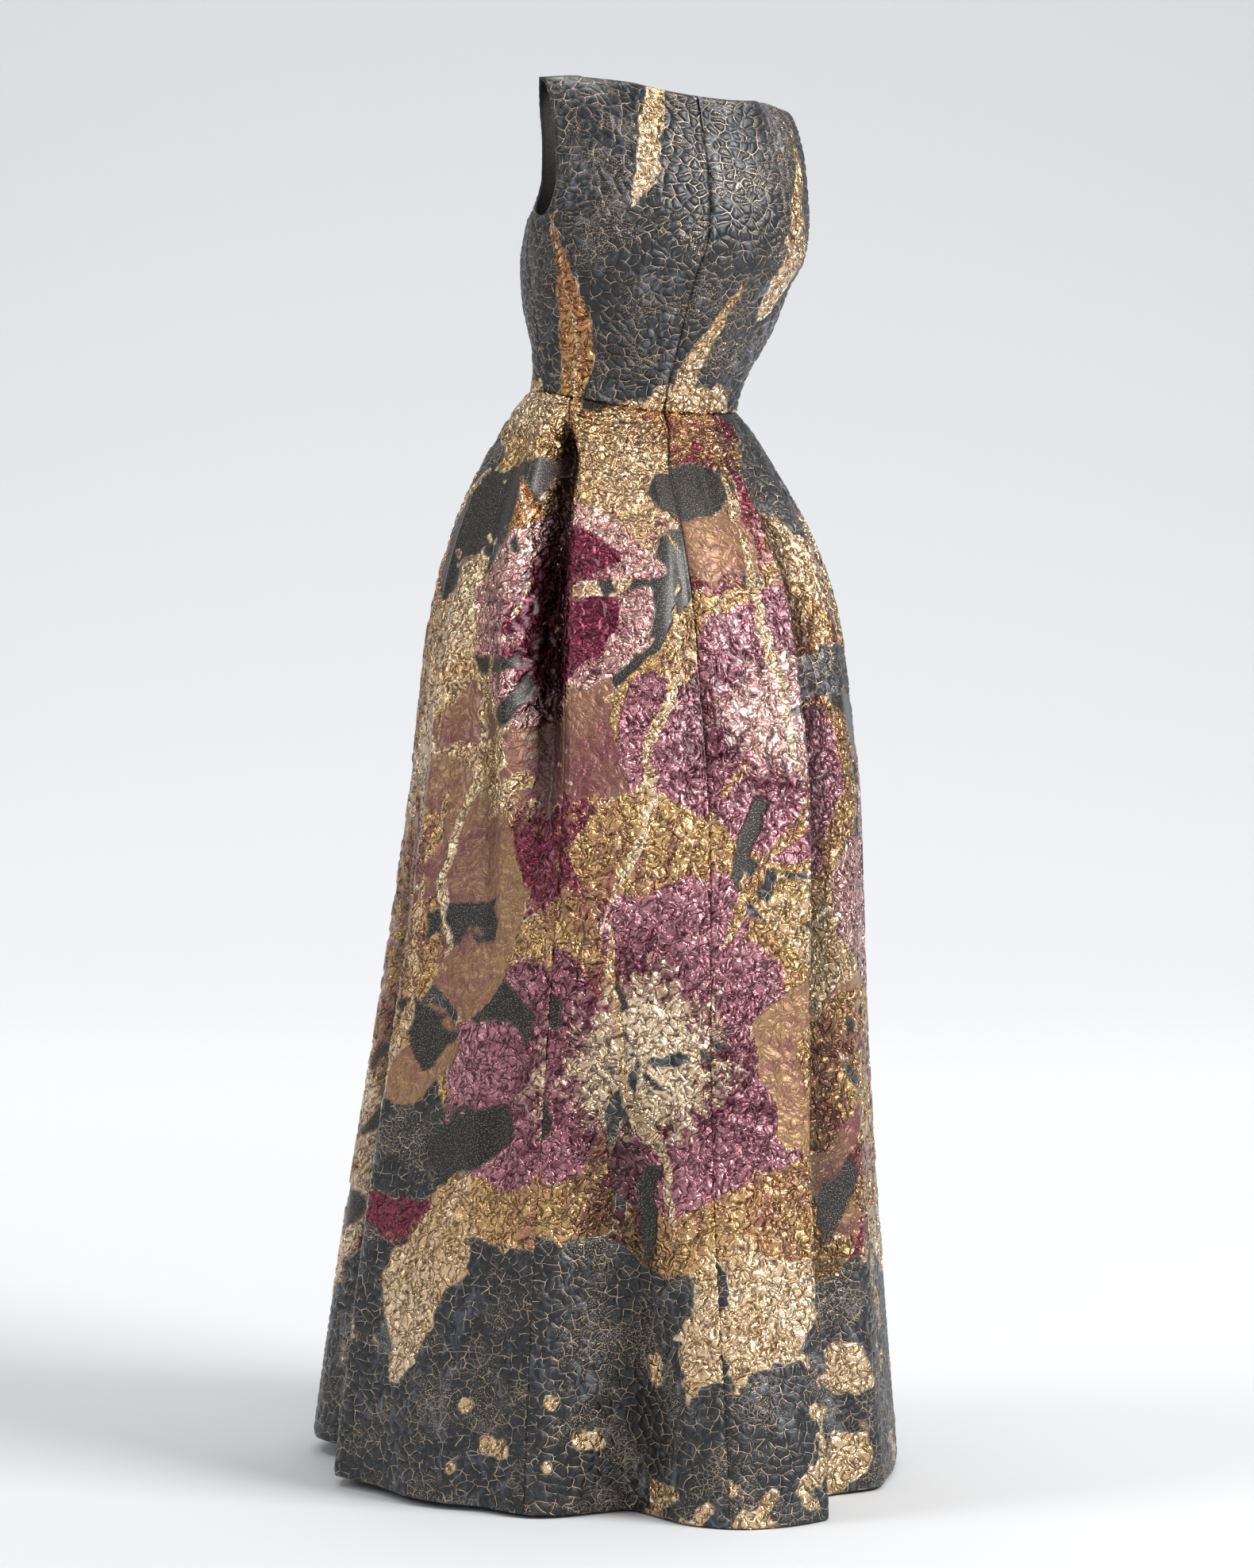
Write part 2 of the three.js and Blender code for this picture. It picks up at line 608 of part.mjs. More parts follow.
// A round bar along X.
function bar(radius, length, y, z) {
  const round = new THREE.CylinderGeometry(radius, radius, length, BAR_SIDES);
  return solid(round.rotateZ(Math.PI / 2).translate(0, y, z));
}

// The slider at the top of the zip: a plate against the cloth, two lugs and the pin between them.
function zipSlider() {
  const s = SLIDER;
  const plate = block(s.width, s.thickness, s.height, 0, s.thickness / 2, 0);
  const reach = s.lift + s.pin;
  const lug = (side) =>
    block(s.lug, reach, s.lugHeight, (side * (s.width - s.lug)) / 2, reach / 2 + s.lugFoot, 0);
  const pin = bar(s.pin, s.width - s.lug, s.lift, 0);
  return mesh("zip_slider", geometryOf(plate.add(lug(1)).add(lug(-1)).add(pin)), METAL_COLOR, METAL);
}

// The pull tab: an eye round the slider's pin, and a flat ring that hangs from it.
function zipPull() {
  const p = PULL;
  const outline = new THREE.Shape();
  const half = p.width / 2;
  const shoulder = -p.hole - p.shoulders;
  const foot = -p.length + half;
  outline.moveTo(-p.eyeWidth / 2, -p.hole);
  outline.lineTo(-half, shoulder);
  outline.lineTo(-half, foot);
  outline.absarc(0, foot, half, Math.PI, 2 * Math.PI, false);
  outline.lineTo(half, shoulder);
  outline.lineTo(p.eyeWidth / 2, -p.hole);
  outline.closePath();
  const slot = new THREE.Path();
  const gap = p.slot / 2;
  const slotTop = -p.hole - p.slotTop;
  slot.moveTo(-gap, slotTop);
  slot.lineTo(-gap, foot);
  slot.absarc(0, foot, gap, Math.PI, 2 * Math.PI, false);
  slot.lineTo(gap, slotTop);
  slot.closePath();
  outline.holes.push(slot);
  const cut = { depth: p.thickness, bevelEnabled: false, curveSegments: 8 };
  const flat = new THREE.ExtrudeGeometry(outline, cut);
  flat.rotateX(Math.PI / 2).translate(0, p.thickness / 2, 0);
  const bore = bar(p.hole, 2 * p.eyeWidth, 0, 0);
  const eye = bar(p.eye, p.eyeWidth, 0, 0).subtract(bore);
  const ring = solid(flat).subtract(bore);
  return mesh("zip_pull_tab", geometryOf(eye.add(ring)), METAL_COLOR, METAL);
}

// The slider and its pull tab, placed on the centre seam just below the neck edge.
function zipHead() {
  const head = new THREE.Group();
  const up = 1 - SLIDER.below / (BACK_NECK_HEIGHT - WAIST_HEIGHT);
  const { at } = bodiceCell(1, 1, 0, up);
  const above = bodiceCell(1, 1, 0, 1).at;
  const low = bodiceCell(1, 1, 0, up - 0.03).at;
  const z = above.sub(low).normalize();
  const tip = TIP_AT_SHOULDER * DEGREE;
  const x = new THREE.Vector3(Math.cos(tip), 0, Math.sin(tip));
  const y = z.clone().cross(x).normalize();
  const side = y.clone().cross(z).normalize();
  const turn = new THREE.Matrix4().makeBasis(side, y, z);
  head.quaternion.setFromRotationMatrix(turn);
  head.position.copy(at).addScaledVector(y, SEAM_GAP);
  const slider = zipSlider();
  const pull = zipPull();
  pull.position.set(0, SLIDER.lift, 0);
  head.add(slider, pull);
  return head;
}

const gown = new THREE.Group();
for (const panel of SKIRT_PANELS) gown.add(skirtPanel(panel));
gown.add(bodiceBack("bodice_back_left", 1));
gown.add(bodiceBack("bodice_back_right", -1));
gown.add(bodiceFront());
gown.add(zipTape("zip_tape_left", 1));
gown.add(zipTape("zip_tape_right", -1));
gown.add(zipHead());
gown.position.set(-SHOULDER_POINT.x, -SHOULDER_POINT.y, -SHOULDER_POINT.z);

export default gown;
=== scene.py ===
"""A worn ball gown of metallic blistered cloth: its panels, creases, floral weave and zip."""

import logging
import math
from dataclasses import dataclass
from enum import Enum
from typing import Sequence

import bpy
import numpy as np
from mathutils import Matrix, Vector


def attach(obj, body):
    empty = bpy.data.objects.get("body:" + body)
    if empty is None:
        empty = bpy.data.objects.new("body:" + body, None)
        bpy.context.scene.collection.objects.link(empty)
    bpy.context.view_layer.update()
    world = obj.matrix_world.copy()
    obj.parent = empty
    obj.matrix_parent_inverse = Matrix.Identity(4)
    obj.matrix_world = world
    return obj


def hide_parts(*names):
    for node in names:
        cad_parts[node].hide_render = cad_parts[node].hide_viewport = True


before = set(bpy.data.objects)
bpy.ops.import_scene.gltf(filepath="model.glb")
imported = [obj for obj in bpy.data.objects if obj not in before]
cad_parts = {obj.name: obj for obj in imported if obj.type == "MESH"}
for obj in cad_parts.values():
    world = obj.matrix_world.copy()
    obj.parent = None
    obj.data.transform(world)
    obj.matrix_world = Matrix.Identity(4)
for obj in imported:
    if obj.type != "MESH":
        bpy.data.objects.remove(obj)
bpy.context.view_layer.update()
LOG = logging.getLogger("gown")

Array = np.ndarray
Shell = tuple[np.ndarray, list[list[int]]]
MM = 0.001

# Cloth, in millimetres
WALL = 2.0
SEAM_GAP = 0.3

# The tables below run round an upright line through the waist. This moves them to the origin
# between the shoulder seams.
TO_SHOULDERS = np.array([28.0, -14.0, 10.0])
WAIST_HEIGHT = -370.0
SKIRT_LENGTH = 1190.0
TIP_AT_WAIST = 5.0
TIP_AT_SHOULDER = 6.0
WAIST_DIP = 9.0
HIP_SHARE = 0.06
HEM_RISE_FRONT = 24.0


def smooth(low: float, high: float, at: Array) -> Array:
    """Rise softly from 0 to 1.

    Args:
        low: Where the rise starts.
        high: Where it ends.
        at: The values to look up.

    Returns:
        The share of the rise at each value.
    """
    share = np.clip((at - low) / (high - low), 0.0, 1.0)
    return share * share * (3.0 - 2.0 * share)


def mix(a: Array, b: Array, share: Array) -> Array:
    """Return the blend of a and b."""
    return a + (b - a) * share


@dataclass(frozen=True)
class Sections:
    """Centre and reach of the gown's sections at a run of levels.

    Each row is level, x, y, half, back and front, in millimetres.
    """

    rows: tuple[tuple[float, ...], ...]

    def at(self, column: str, level: Array) -> Array:
        """Read a column smoothly between its rows.

        Args:
            column: One of x, y, half, back and front.
            level: The levels to read it at.

        Returns:
            The column's value at each level.
        """
        table = np.array(self.rows)
        x = table[:, 0]
        y = table[:, 1 + ("x", "y", "half", "back", "front").index(column)]
        last = len(x) - 1
        low = np.maximum(np.arange(last + 1) - 1, 0)
        high = np.minimum(np.arange(last + 1) + 1, last)
        slope = (y[high] - y[low]) / (x[high] - x[low])
        row = np.clip(np.searchsorted(x, level, side="left") - 1, 0, last - 1)
        span = x[row + 1] - x[row]
        t = np.clip((level - x[row]) / span, 0.0, 1.0)
        return (
            mix(y[row], y[row + 1], t * t * (3.0 - 2.0 * t))
            + span * slope[row] * t * (1.0 - t) ** 2
            - span * slope[row + 1] * t * t * (1.0 - t)
        )


BODICE_SECTIONS = Sections(
    (
        (-370, 0, 0, 121, 88, 88),
        (-330, -4, 9, 124, 88, 101),
        (-294, -8, 21, 135, 90, 121),
        (-262, -11, 30, 146, 93, 136),
        (-212, -16, 47, 154, 99, 150),
        (-186, -23, 52, 160, 101, 147),
        (-148, -29, 50, 163, 99, 130),
        (-118, -32, 45, 163, 95, 113),
        (-75, -34, 36, 162, 90, 91),
        (-40, -33, 29, 161, 86, 77),
        (20, -32, 22, 160, 82, 68),
    )
)
SKIRT_SECTIONS = Sections(
    (
        (0, 0, 0, 121, 88, 88),
        (15, 1, 2, 134, 102, 99),
        (30, 2, 4, 145, 115, 109),
        (55, 4, 8, 160, 134, 125),
        (100, 8, 18, 185, 164, 152),
        (150, 11, 28, 208, 192, 176),
        (210, 15, 40, 227, 216, 198),
        (270, 20, 50, 238, 233, 216),
        (410, 28, 66, 251, 262, 240),
        (540, 35, 66, 260, 284, 260),
        (705, 43, 58, 273, 311, 278),
        (870, 49, 51, 289, 338, 299),
        (1035, 53, 45, 305, 364, 320),
        (1190, 56, 41, 320, 390, 340),
    )
)


@dataclass(frozen=True)
class Line:
    """Where a seam or fold runs round the skirt, in degrees from the centre back."""

    waist: float
    hip: float
    hem: float

    def at(self, share: Array) -> Array:
        """Return its angle at a share of the skirt's length."""
        hip = mix(self.waist, self.hip, smooth(0.0, HIP_SHARE, share))
        return mix(hip, self.hem, smooth(HIP_SHARE, 1.0, share))


@dataclass(frozen=True)
class Fold:
    """A fold of the skirt, with its reach in degrees and its height in millimetres."""

    waist: float
    hip: float
    hem: float
    start: float
    full: float
    fade: float
    end: float
    high: float
    low: float
    before: float
    after: float
    crisp: float

    def at(self, degrees: Array, share: Array) -> Array:
        """Give how far the fold stands out.

        Args:
            degrees: Angles round from the centre back.
            share: Shares of the skirt's length.

        Returns:
            Millimetres out at each place.
        """
        line = Line(self.waist, self.hip, self.hem).at(share)
        away = np.mod(degrees - line + 180.0, 360.0) - 180.0
        away = np.where(away < 0.0, -away / self.before, away / self.after)
        near = np.minimum(away, 1.0)
        rounded = np.cos(near * math.pi / 2.0) ** 2
        pressed = (1.0 - near) ** 2
        rise = smooth(self.start - 1e-6, self.full, share)
        left = 1.0 - smooth(self.fade, self.end, share)
        return mix(self.high, self.low, share) * rise * left * mix(rounded, pressed, self.crisp)


# The skirt's pleats and large folds, as they are in the solids.
FOLDS = (
    Fold(64, 58, 58, 0, 0.06, 0.25, 0.5, 22, 22, 9, 14, 0.4),
    Fold(55, 48, 48, 0, 0.06, 0.22, 0.52, -34, -34, 8, 9, 0.2),
    Fold(50, 40, 40, 0, 0.05, 0.3, 0.6, 7, 7, 12, 5, 0.8),
    Fold(66, 63, 63, 0.2, 0.3, 0.38, 0.55, -11, -11, 7, 9, 0),
    Fold(1, 7, 7, 0.1, 0.18, 0.26, 0.46, -9, -9, 5, 11, 0.3),
    Fold(-50, -21, -12, 0, 0.06, 1, 2, 14, 34, 6, 17, 0.6),
    Fold(-62, -32, -25, 0, 0.08, 1, 2, -12, -34, 17, 9, 0.1),
    Fold(0, 1, 2, 0.4, 1, 1, 2, 0, 48, 22, 16, 0),
    Fold(24, 28, 24, 0.42, 1, 1, 2, -12, -62, 13, 19, 0.1),
    Fold(66, 66, 66, 0.5, 1, 1, 2, 0, 14, 16, 14, 0),
    Fold(76, 80, 84, 0.1, 0.3, 1, 2, 14, 25, 15, 9, 0.5),
    Fold(96, 99, 99, 0.18, 0.7, 1, 2, -12, -44, 12, 16, 0),
    Fold(124, 131, 131, 0, 0.06, 0.3, 0.6, -26, -26, 9, 8, 0.2),
    Fold(130, 139, 139, 0, 0.06, 0.4, 0.8, 9, 9, 6, 12, 0.7),
    Fold(120, 120, 120, 0.4, 1, 1, 2, 0, 10, 12, 16, 0),
    Fold(146, 150, 150, 0.4, 1, 1, 2, -8, -42, 14, 14, 0),
    Fold(178, 174, 174, 0.35, 1, 1, 2, 0, 26, 16, 18, 0),
    Fold(210, 204, 204, 0.38, 1, 1, 2, -6, -50, 15, 17, 0),
    Fold(230, 222, 222, 0, 0.06, 0.4, 0.75, 9, 9, 12, 6, 0.7),
    Fold(236, 229, 229, 0, 0.06, 0.3, 0.58, -26, -26, 8, 9, 0.2),
    Fold(238, 236, 236, 0.45, 1, 1, 2, 0, 20, 15, 15, 0),
    Fold(262, 264, 264, 0.3, 1, 1, 2, -5, -30, 13, 15, 0),
    Fold(288, 290, 290, 0.25, 0.8, 1, 2, 4, 5, 14, 14, 0.2),
)
# Smaller creases that only the cloth has.
CREASES = (
    Fold(20, 17, 16, 0.0, 0.02, 0.05, 0.16, -3.2, -3.2, 5, 4, 0.3),
    Fold(34, 30, 29, 0.0, 0.03, 0.06, 0.2, -2.6, -2.6, 4, 5, 0.2),
    Fold(43, 35, 33, 0.0, 0.04, 0.1, 0.26, 2.4, 2.4, 4, 4, 0.5),
    Fold(10, 12, 15, 0.03, 0.07, 0.12, 0.3, 2.4, 2.4, 4, 6, 0.2),
    Fold(-14, -7, -5, 0.0, 0.03, 0.08, 0.22, -2.8, -2.8, 5, 4, 0.3),
    Fold(-30, -13, -10, 0.0, 0.03, 0.12, 0.3, 2.2, 2.2, 5, 4, 0.4),
    Fold(20, 19, 17, 0.3, 0.4, 0.5, 0.66, -3.5, -3.5, 6, 5, 0.1),
    Fold(10, 8, 5, 0.5, 0.62, 0.72, 0.88, -4.0, -4.0, 6, 8, 0.1),
    Fold(60, 54, 52, 0.52, 0.66, 0.9, 1.3, -6.0, -7.0, 9, 7, 0.1),
    Fold(72, 72, 74, 0.1, 0.2, 0.3, 0.46, -4.0, -4.0, 4, 5, 0.3),
    Fold(88, 90, 91, 0.04, 0.1, 0.16, 0.34, 4.0, 4.0, 5, 5, 0.3),
    Fold(-78, -46, -44, 0.02, 0.08, 0.2, 0.44, 4.0, 4.0, 8, 6, 0.3),
    Fold(-84, -58, -56, 0.02, 0.09, 0.16, 0.36, -4.0, -4.0, 6, 7, 0.2),
    Fold(-60, -44, -38, 0.5, 0.7, 0.9, 1.4, 6.0, 7.0, 7, 9, 0.2),
    Fold(-90, -78, -76, 0.4, 0.6, 1.0, 1.6, -6.0, -7.0, 9, 8, 0.1),
    Fold(112, 113, 113, 0.02, 0.07, 0.15, 0.33, -4.0, -4.0, 6, 5, 0.2),
    Fold(150, 152, 152, 0.0, 0.03, 0.1, 0.24, -3.0, -3.0, 6, 5, 0.2),
    Fold(166, 163, 162, 0.02, 0.06, 0.16, 0.36, 3.5, 3.5, 6, 7, 0.2),
    Fold(186, 187, 189, 0.0, 0.03, 0.09, 0.25, -3.0, -3.0, 5, 6, 0.2),
    Fold(198, 192, 190, 0.45, 0.6, 0.8, 1.3, 5.0, 6.0, 8, 8, 0.1),
    Fold(216, 213, 212, 0.02, 0.06, 0.14, 0.3, -3.2, -3.2, 5, 5, 0.3),
    Fold(246, 243, 242, 0.02, 0.07, 0.2, 0.4, 3.6, 3.6, 6, 6, 0.3),
)

CENTRE_BACK = Line(0, 6, 6)
LEFT_BACK_SEAM = Line(54, 43, 43)
LEFT_SIDE_SEAM = Line(100, 104, 104)
RIGHT_SIDE_SEAM = Line(260, 254, 254)
RIGHT_BACK_SEAM = Line(304, 332, 340)
CENTRE_BACK_AGAIN = Line(360, 366, 366)

# Neck, shoulders and armholes
NECK_POINT = 116.0
SHOULDER_TIP = 156.0
NECK_POINT_HEIGHT = -2.0
SHOULDER_TIP_HEIGHT = -9.0
BACK_NECK_HEIGHT = -17.0
FRONT_NECK_HEIGHT = -30.0
SHOULDER_SEAM_Y = 17.0
SHOULDER_ROUND = 52.0
NECK_CURVE = 2.2
UNDERARM_HEIGHT = -166.0
ARMHOLE_SWEEP = 46.0
BACK_ARMHOLE = 158.0
FRONT_ARMHOLE = 142.0
UNDERARM_SHARE = 0.51
SWEEP_SHARE = 0.38
NECK_SHARE = 0.7
SHOULDER_ROUND_FROM = 0.42


class Face(Enum):
    """The two faces of the upper body."""

    BACK = 1
    FRONT = -1


@dataclass(frozen=True)
class Dart:
    """A dart of the upper body: shares of its half panel and height, and its dip."""

    face: Face
    across: float
    low: float
    high: float
    depth: float
    width: float


@dataclass(frozen=True)
class Swell:
    """A soft rise on the upper body."""

    across: float
    height: float
    rise: float
    width: float
    tall: float

    def at(self, across: Array, height: Array) -> Array:
        """Return the rise at shares across and heights."""
        sideways = (across - self.across) / self.width
        upright = (height - self.height) / self.tall
        return self.rise * np.exp(-sideways * sideways - upright * upright)


DARTS = (
    Dart(Face.BACK, 0.56, 0.0, 0.5, 2.2, 0.07),
    Dart(Face.BACK, 0.47, 0.86, 1.05, 1.4, 0.06),
    Dart(Face.FRONT, 0.52, 0.0, 0.46, 2.2, 0.07),
)
DART_STITCH_WIDTH = 0.016
DART_STITCH_DEPTH = 0.9
BUST = Swell(0.5, -196, 13, 0.34, 62)
SHOULDER_BLADE = Swell(0.5, -120, 4, 0.3, 60)


def waist_height(across: Array) -> Array:
    """Return the waist seam's height at a distance across from the middle."""
    tip = math.sin(math.radians(TIP_AT_WAIST))
    return WAIST_HEIGHT + across * tip + WAIST_DIP * (across / 100.0) ** 2


def skirt_point(degrees: Array, share: Array) -> Array:
    """Place points of the skirt's outer face.

    Args:
        degrees: Angles round from the centre back.
        share: Shares of the skirt's length.

    Returns:
        Points in millimetres, in the last axis.
    """
    drop = share * SKIRT_LENGTH
    angle = np.radians(degrees)
    half = SKIRT_SECTIONS.at("half", drop)
    across = half * np.sin(angle)
    behind = np.cos(angle)
    depth = np.where(behind > 0, SKIRT_SECTIONS.at("back", drop), SKIRT_SECTIONS.at("front", drop))
    out = sum(fold.at(degrees, share) for fold in FOLDS + CREASES)
    nx, ny = across / half**2, behind / depth
    size = np.hypot(nx, ny)
    top = waist_height(SKIRT_SECTIONS.rows[0][3] * np.sin(angle)) - SEAM_GAP / 2
    bottom = WAIST_HEIGHT - SKIRT_LENGTH + HEM_RISE_FRONT * (0.5 - 0.5 * np.cos(angle))
    return np.stack(
        [
            SKIRT_SECTIONS.at("x", drop) + across + nx / size * out,
            SKIRT_SECTIONS.at("y", drop) + depth * behind + ny / size * out,
            mix(top, bottom, share),
        ],
        axis=-1,
    )


def angle_at(sideways: Array, height: Array) -> Array:
    """Return the angle from the middle at which the upper body is this wide."""
    return np.arcsin(np.minimum(1.0, sideways / BODICE_SECTIONS.at("half", height)))


class HalfPanel:
    """One half of the upper body's back or front, between its four edges."""

    def __init__(self, face: Face, side: int) -> None:
        """Keep the face, and the side: 1 on the wearer's left and -1 on the right."""
        self.face = face
        self.side = side

    def side_edge(self, up: Array) -> tuple[Array, Array]:
        """Follow the side seam and then the armhole.

        Args:
            up: Shares up the edge.

        Returns:
            Angles from the middle, and heights.
        """
        foot = self.waist_edge(np.ones_like(up))[1]
        seam = mix(foot, UNDERARM_HEIGHT, up / UNDERARM_SHARE)
        share = np.clip((up - UNDERARM_SHARE) / (1 - UNDERARM_SHARE), 0.0, 1.0)
        reach = BACK_ARMHOLE if self.face is Face.BACK else FRONT_ARMHOLE
        sweep_top = UNDERARM_HEIGHT + ARMHOLE_SWEEP
        sweep_angle = angle_at(np.full_like(up, reach), np.full_like(up, sweep_top))
        turn = np.minimum(share / SWEEP_SHARE, 1.0) * math.pi / 2
        rest = np.clip((share - SWEEP_SHARE) / (1 - SWEEP_SHARE), 0.0, 1.0)
        climb = mix(sweep_top, SHOULDER_TIP_HEIGHT, rest)
        on_seam, on_sweep = up <= UNDERARM_SHARE, share <= SWEEP_SHARE
        angle = np.where(
            on_sweep,
            mix(math.pi / 2, sweep_angle, np.sin(turn)),
            angle_at(mix(reach, SHOULDER_TIP, rest), climb),
        )
        height = np.where(on_sweep, mix(sweep_top, UNDERARM_HEIGHT, np.cos(turn)), climb)
        return np.where(on_seam, math.pi / 2, angle), np.where(on_seam, seam, height)

    def waist_edge(self, across: Array) -> tuple[Array, Array]:
        """Return the waist edge's angles and heights at shares across."""
        angle = across * math.pi / 2
        sideways = BODICE_SECTIONS.rows[0][3] * np.sin(angle)
        return angle, WAIST_HEIGHT + WAIST_DIP * (sideways / 100.0) ** 2

    def top_edge(self, across: Array) -> tuple[Array, Array]:
        """Return the neckline's and shoulder seam's angles and heights at shares across."""
        on_neck = across < NECK_SHARE
        along_neck = np.minimum(1.0, across / NECK_SHARE)
        along_seam = np.maximum(0.0, (across - NECK_SHARE) / (1 - NECK_SHARE))
        middle = BACK_NECK_HEIGHT if self.face is Face.BACK else FRONT_NECK_HEIGHT
        neck = mix(middle, NECK_POINT_HEIGHT, along_neck**NECK_CURVE)
        seam = mix(NECK_POINT_HEIGHT, SHOULDER_TIP_HEIGHT, along_seam)
        height = np.where(on_neck, neck, seam)
        across_seam = mix(NECK_POINT, SHOULDER_TIP, along_seam)
        return angle_at(np.where(on_neck, NECK_POINT * along_neck, across_seam), height), height

    def place(self, across: Array, up: Array) -> tuple[Array, Array, Array]:
        """Blend the four edges over the panel.

        Args:
            across: Shares across, from the middle to the side.
            up: Shares up, from the waist to the top.

        Returns:
            Angles, heights, and the height of the top edge above each place.
        """
        zero, one = np.zeros_like(across), np.ones_like(across)
        side, waist, top = self.side_edge(up), self.waist_edge(across), self.top_edge(across)
        middle, foot = self.waist_edge(zero), self.waist_edge(one)
        neck, tip = self.top_edge(zero), self.top_edge(one)
        rise = mix(WAIST_HEIGHT, neck[1], up)
        blended = []
        for key, centre in ((0, zero), (1, rise)):
            corners = mix(
                mix(middle[key], foot[key], across), mix(neck[key], tip[key], across), up
            )
            sides = mix(centre, side[key], across) + mix(waist[key], top[key], up)
            blended.append(sides - corners)
        return blended[0], blended[1], top[1]

    def shaping(self, across: Array, up: Array, height: Array) -> Array:
        """Return how far darts and shaping move the face out, in millimetres."""
        at_side = 1 - smooth(0.88, 1, across)
        if self.face is Face.BACK:
            out = SHOULDER_BLADE.at(across, height) * smooth(0, 0.12, across) * at_side
        else:
            out = BUST.at(across, height) * at_side + BUST.at(-across, height)
        for dart in DARTS:
            if dart.face is self.face:
                near = np.maximum(0.0, 1 - np.abs(across - dart.across) / dart.width)
                begun = 1.0 if dart.low == 0 else smooth(dart.low, dart.low + 0.1, up)
                crease = np.maximum(0.0, 1 - np.abs(across - dart.across) / DART_STITCH_WIDTH)
                left = 1 - smooth(dart.high - 0.3, dart.high, up)
                out = out - (dart.depth * near + DART_STITCH_DEPTH * crease) * begun * left
        return out + self.drag(across, up)

    def drag(self, across: Array, up: Array) -> Array:
        """Return the shallow drag lines of the worn cloth, in millimetres out."""
        out = np.zeros_like(across)
        for line in DRAG_LINES:
            if line.face is self.face and line.side == self.side:
                out = out + line.at(across, up)
        return out

    def point(self, across: Array, up: Array) -> Array:
        """Place points of the outer face.

        Args:
            across: Shares across, from the middle to the side.
            up: Shares up, from the waist to the top.

        Returns:
            Points in millimetres, in the last axis.
        """
        angle, height, top = self.place(across, up)
        face = self.face.value
        half = BODICE_SECTIONS.at("half", height)
        depth = BODICE_SECTIONS.at("back" if face > 0 else "front", height)
        near_strap = smooth(SHOULDER_ROUND_FROM, NECK_SHARE, across)
        near_top = np.maximum(0.0, 1 - (top - height) / SHOULDER_ROUND)
        turn = np.sqrt(np.maximum(0.0, 1 - near_strap * near_top * near_top))
        centre = BODICE_SECTIONS.at("y", height)
        y = mix(SHOULDER_SEAM_Y, centre + face * depth * np.cos(angle), turn)
        out = self.shaping(across, up, height)
        tip = np.radians(mix(TIP_AT_WAIST, TIP_AT_SHOULDER, up))
        nx, ny = np.sin(angle) / half, face * np.cos(angle) / depth
        size = np.hypot(nx, ny)
        local = self.side * (half * np.sin(angle) + nx / size * out)
        return np.stack(
            [
                BODICE_SECTIONS.at("x", height) + local * np.cos(tip),
                y + ny / size * out,
                height + local * np.sin(tip),
            ],
            axis=-1,
        )


@dataclass(frozen=True)
class DragLine:
    """A shallow trough or ridge between two places of a half panel."""

    face: Face
    side: int
    start: tuple[float, float]
    end: tuple[float, float]
    width: float
    depth: float

    def at(self, across: Array, up: Array) -> Array:
        """Return millimetres out at shares across and up."""
        dx, dy = self.end[0] - self.start[0], self.end[1] - self.start[1]
        along = ((across - self.start[0]) * dx + (up - self.start[1]) * dy) / (dx * dx + dy * dy)
        off = np.hypot(
            across - self.start[0] - np.clip(along, 0, 1) * dx,
            up - self.start[1] - np.clip(along, 0, 1) * dy,
        )
        fade = smooth(-0.15, 0.3, along) * (1 - smooth(0.6, 1.15, along))
        return self.depth * fade * np.exp(-((off / self.width) ** 2))


DRAG_LINES = (
    DragLine(Face.BACK, 1, (0.1, 0.16), (0.5, 0.11), 0.022, -1.5),
    DragLine(Face.BACK, 1, (0.08, 0.08), (0.5, 0.055), 0.02, -1.4),
    DragLine(Face.BACK, 1, (0.62, 0.13), (0.95, 0.2), 0.024, -1.6),
    DragLine(Face.BACK, 1, (0.62, 0.05), (0.92, 0.1), 0.02, -1.3),
    DragLine(Face.BACK, 1, (0.2, 0.3), (0.5, 0.24), 0.03, -1.0),
    DragLine(Face.BACK, -1, (0.1, 0.13), (0.5, 0.17), 0.022, -1.4),
    DragLine(Face.BACK, -1, (0.62, 0.1), (0.95, 0.16), 0.024, -1.5),
    DragLine(Face.BACK, -1, (0.1, 0.05), (0.45, 0.04), 0.018, -1.1),
    DragLine(Face.FRONT, 1, (0.55, 0.1), (0.95, 0.17), 0.024, -1.4),
    DragLine(Face.FRONT, 1, (0.05, 0.08), (0.45, 0.12), 0.022, -1.1),
    DragLine(Face.FRONT, -1, (0.55, 0.14), (0.95, 0.09), 0.024, -1.4),
    DragLine(Face.FRONT, -1, (0.08, 0.2), (0.45, 0.26), 0.026, -1.0),
)


# The noise repeats after this many features
NOISE_GRID = 128
# How far the motifs wander, curl and break up at their outlines, in millimetres
WANDER = 34
CURL = 13
RAG = 5.5
# An outline's distance is kept up to here
FAR_FROM_OUTLINE = 30.0
# Where the painted shade in the pleats' hollows under the waist turns from plum to black, in millimetres
# down
PLEATS_FADE = (330.0, 520.0)
# Millimetres between the weaves of two panels, which keeps their noise apart
WEAVE_STEP = 3000.0


def value_noise(x: Array, y: Array, seed: int) -> Array:
    """Give smooth noise from 0 to 1 with a feature size of 1.

    Args:
        x: First coordinate.
        y: Second coordinate.
        seed: Which noise.

    Returns:
        The noise at each place.
    """
    grid = np.random.default_rng(seed).random((NOISE_GRID, NOISE_GRID))
    ix, iy = np.floor(x).astype(int), np.floor(y).astype(int)
    fx, fy = x - ix, y - iy
    fx, fy = fx * fx * (3 - 2 * fx), fy * fy * (3 - 2 * fy)
    ix, iy = ix % NOISE_GRID, iy % NOISE_GRID
    jx, jy = (ix + 1) % NOISE_GRID, (iy + 1) % NOISE_GRID
    return mix(mix(grid[ix, iy], grid[jx, iy], fx), mix(grid[ix, jy], grid[jx, jy], fx), fy)


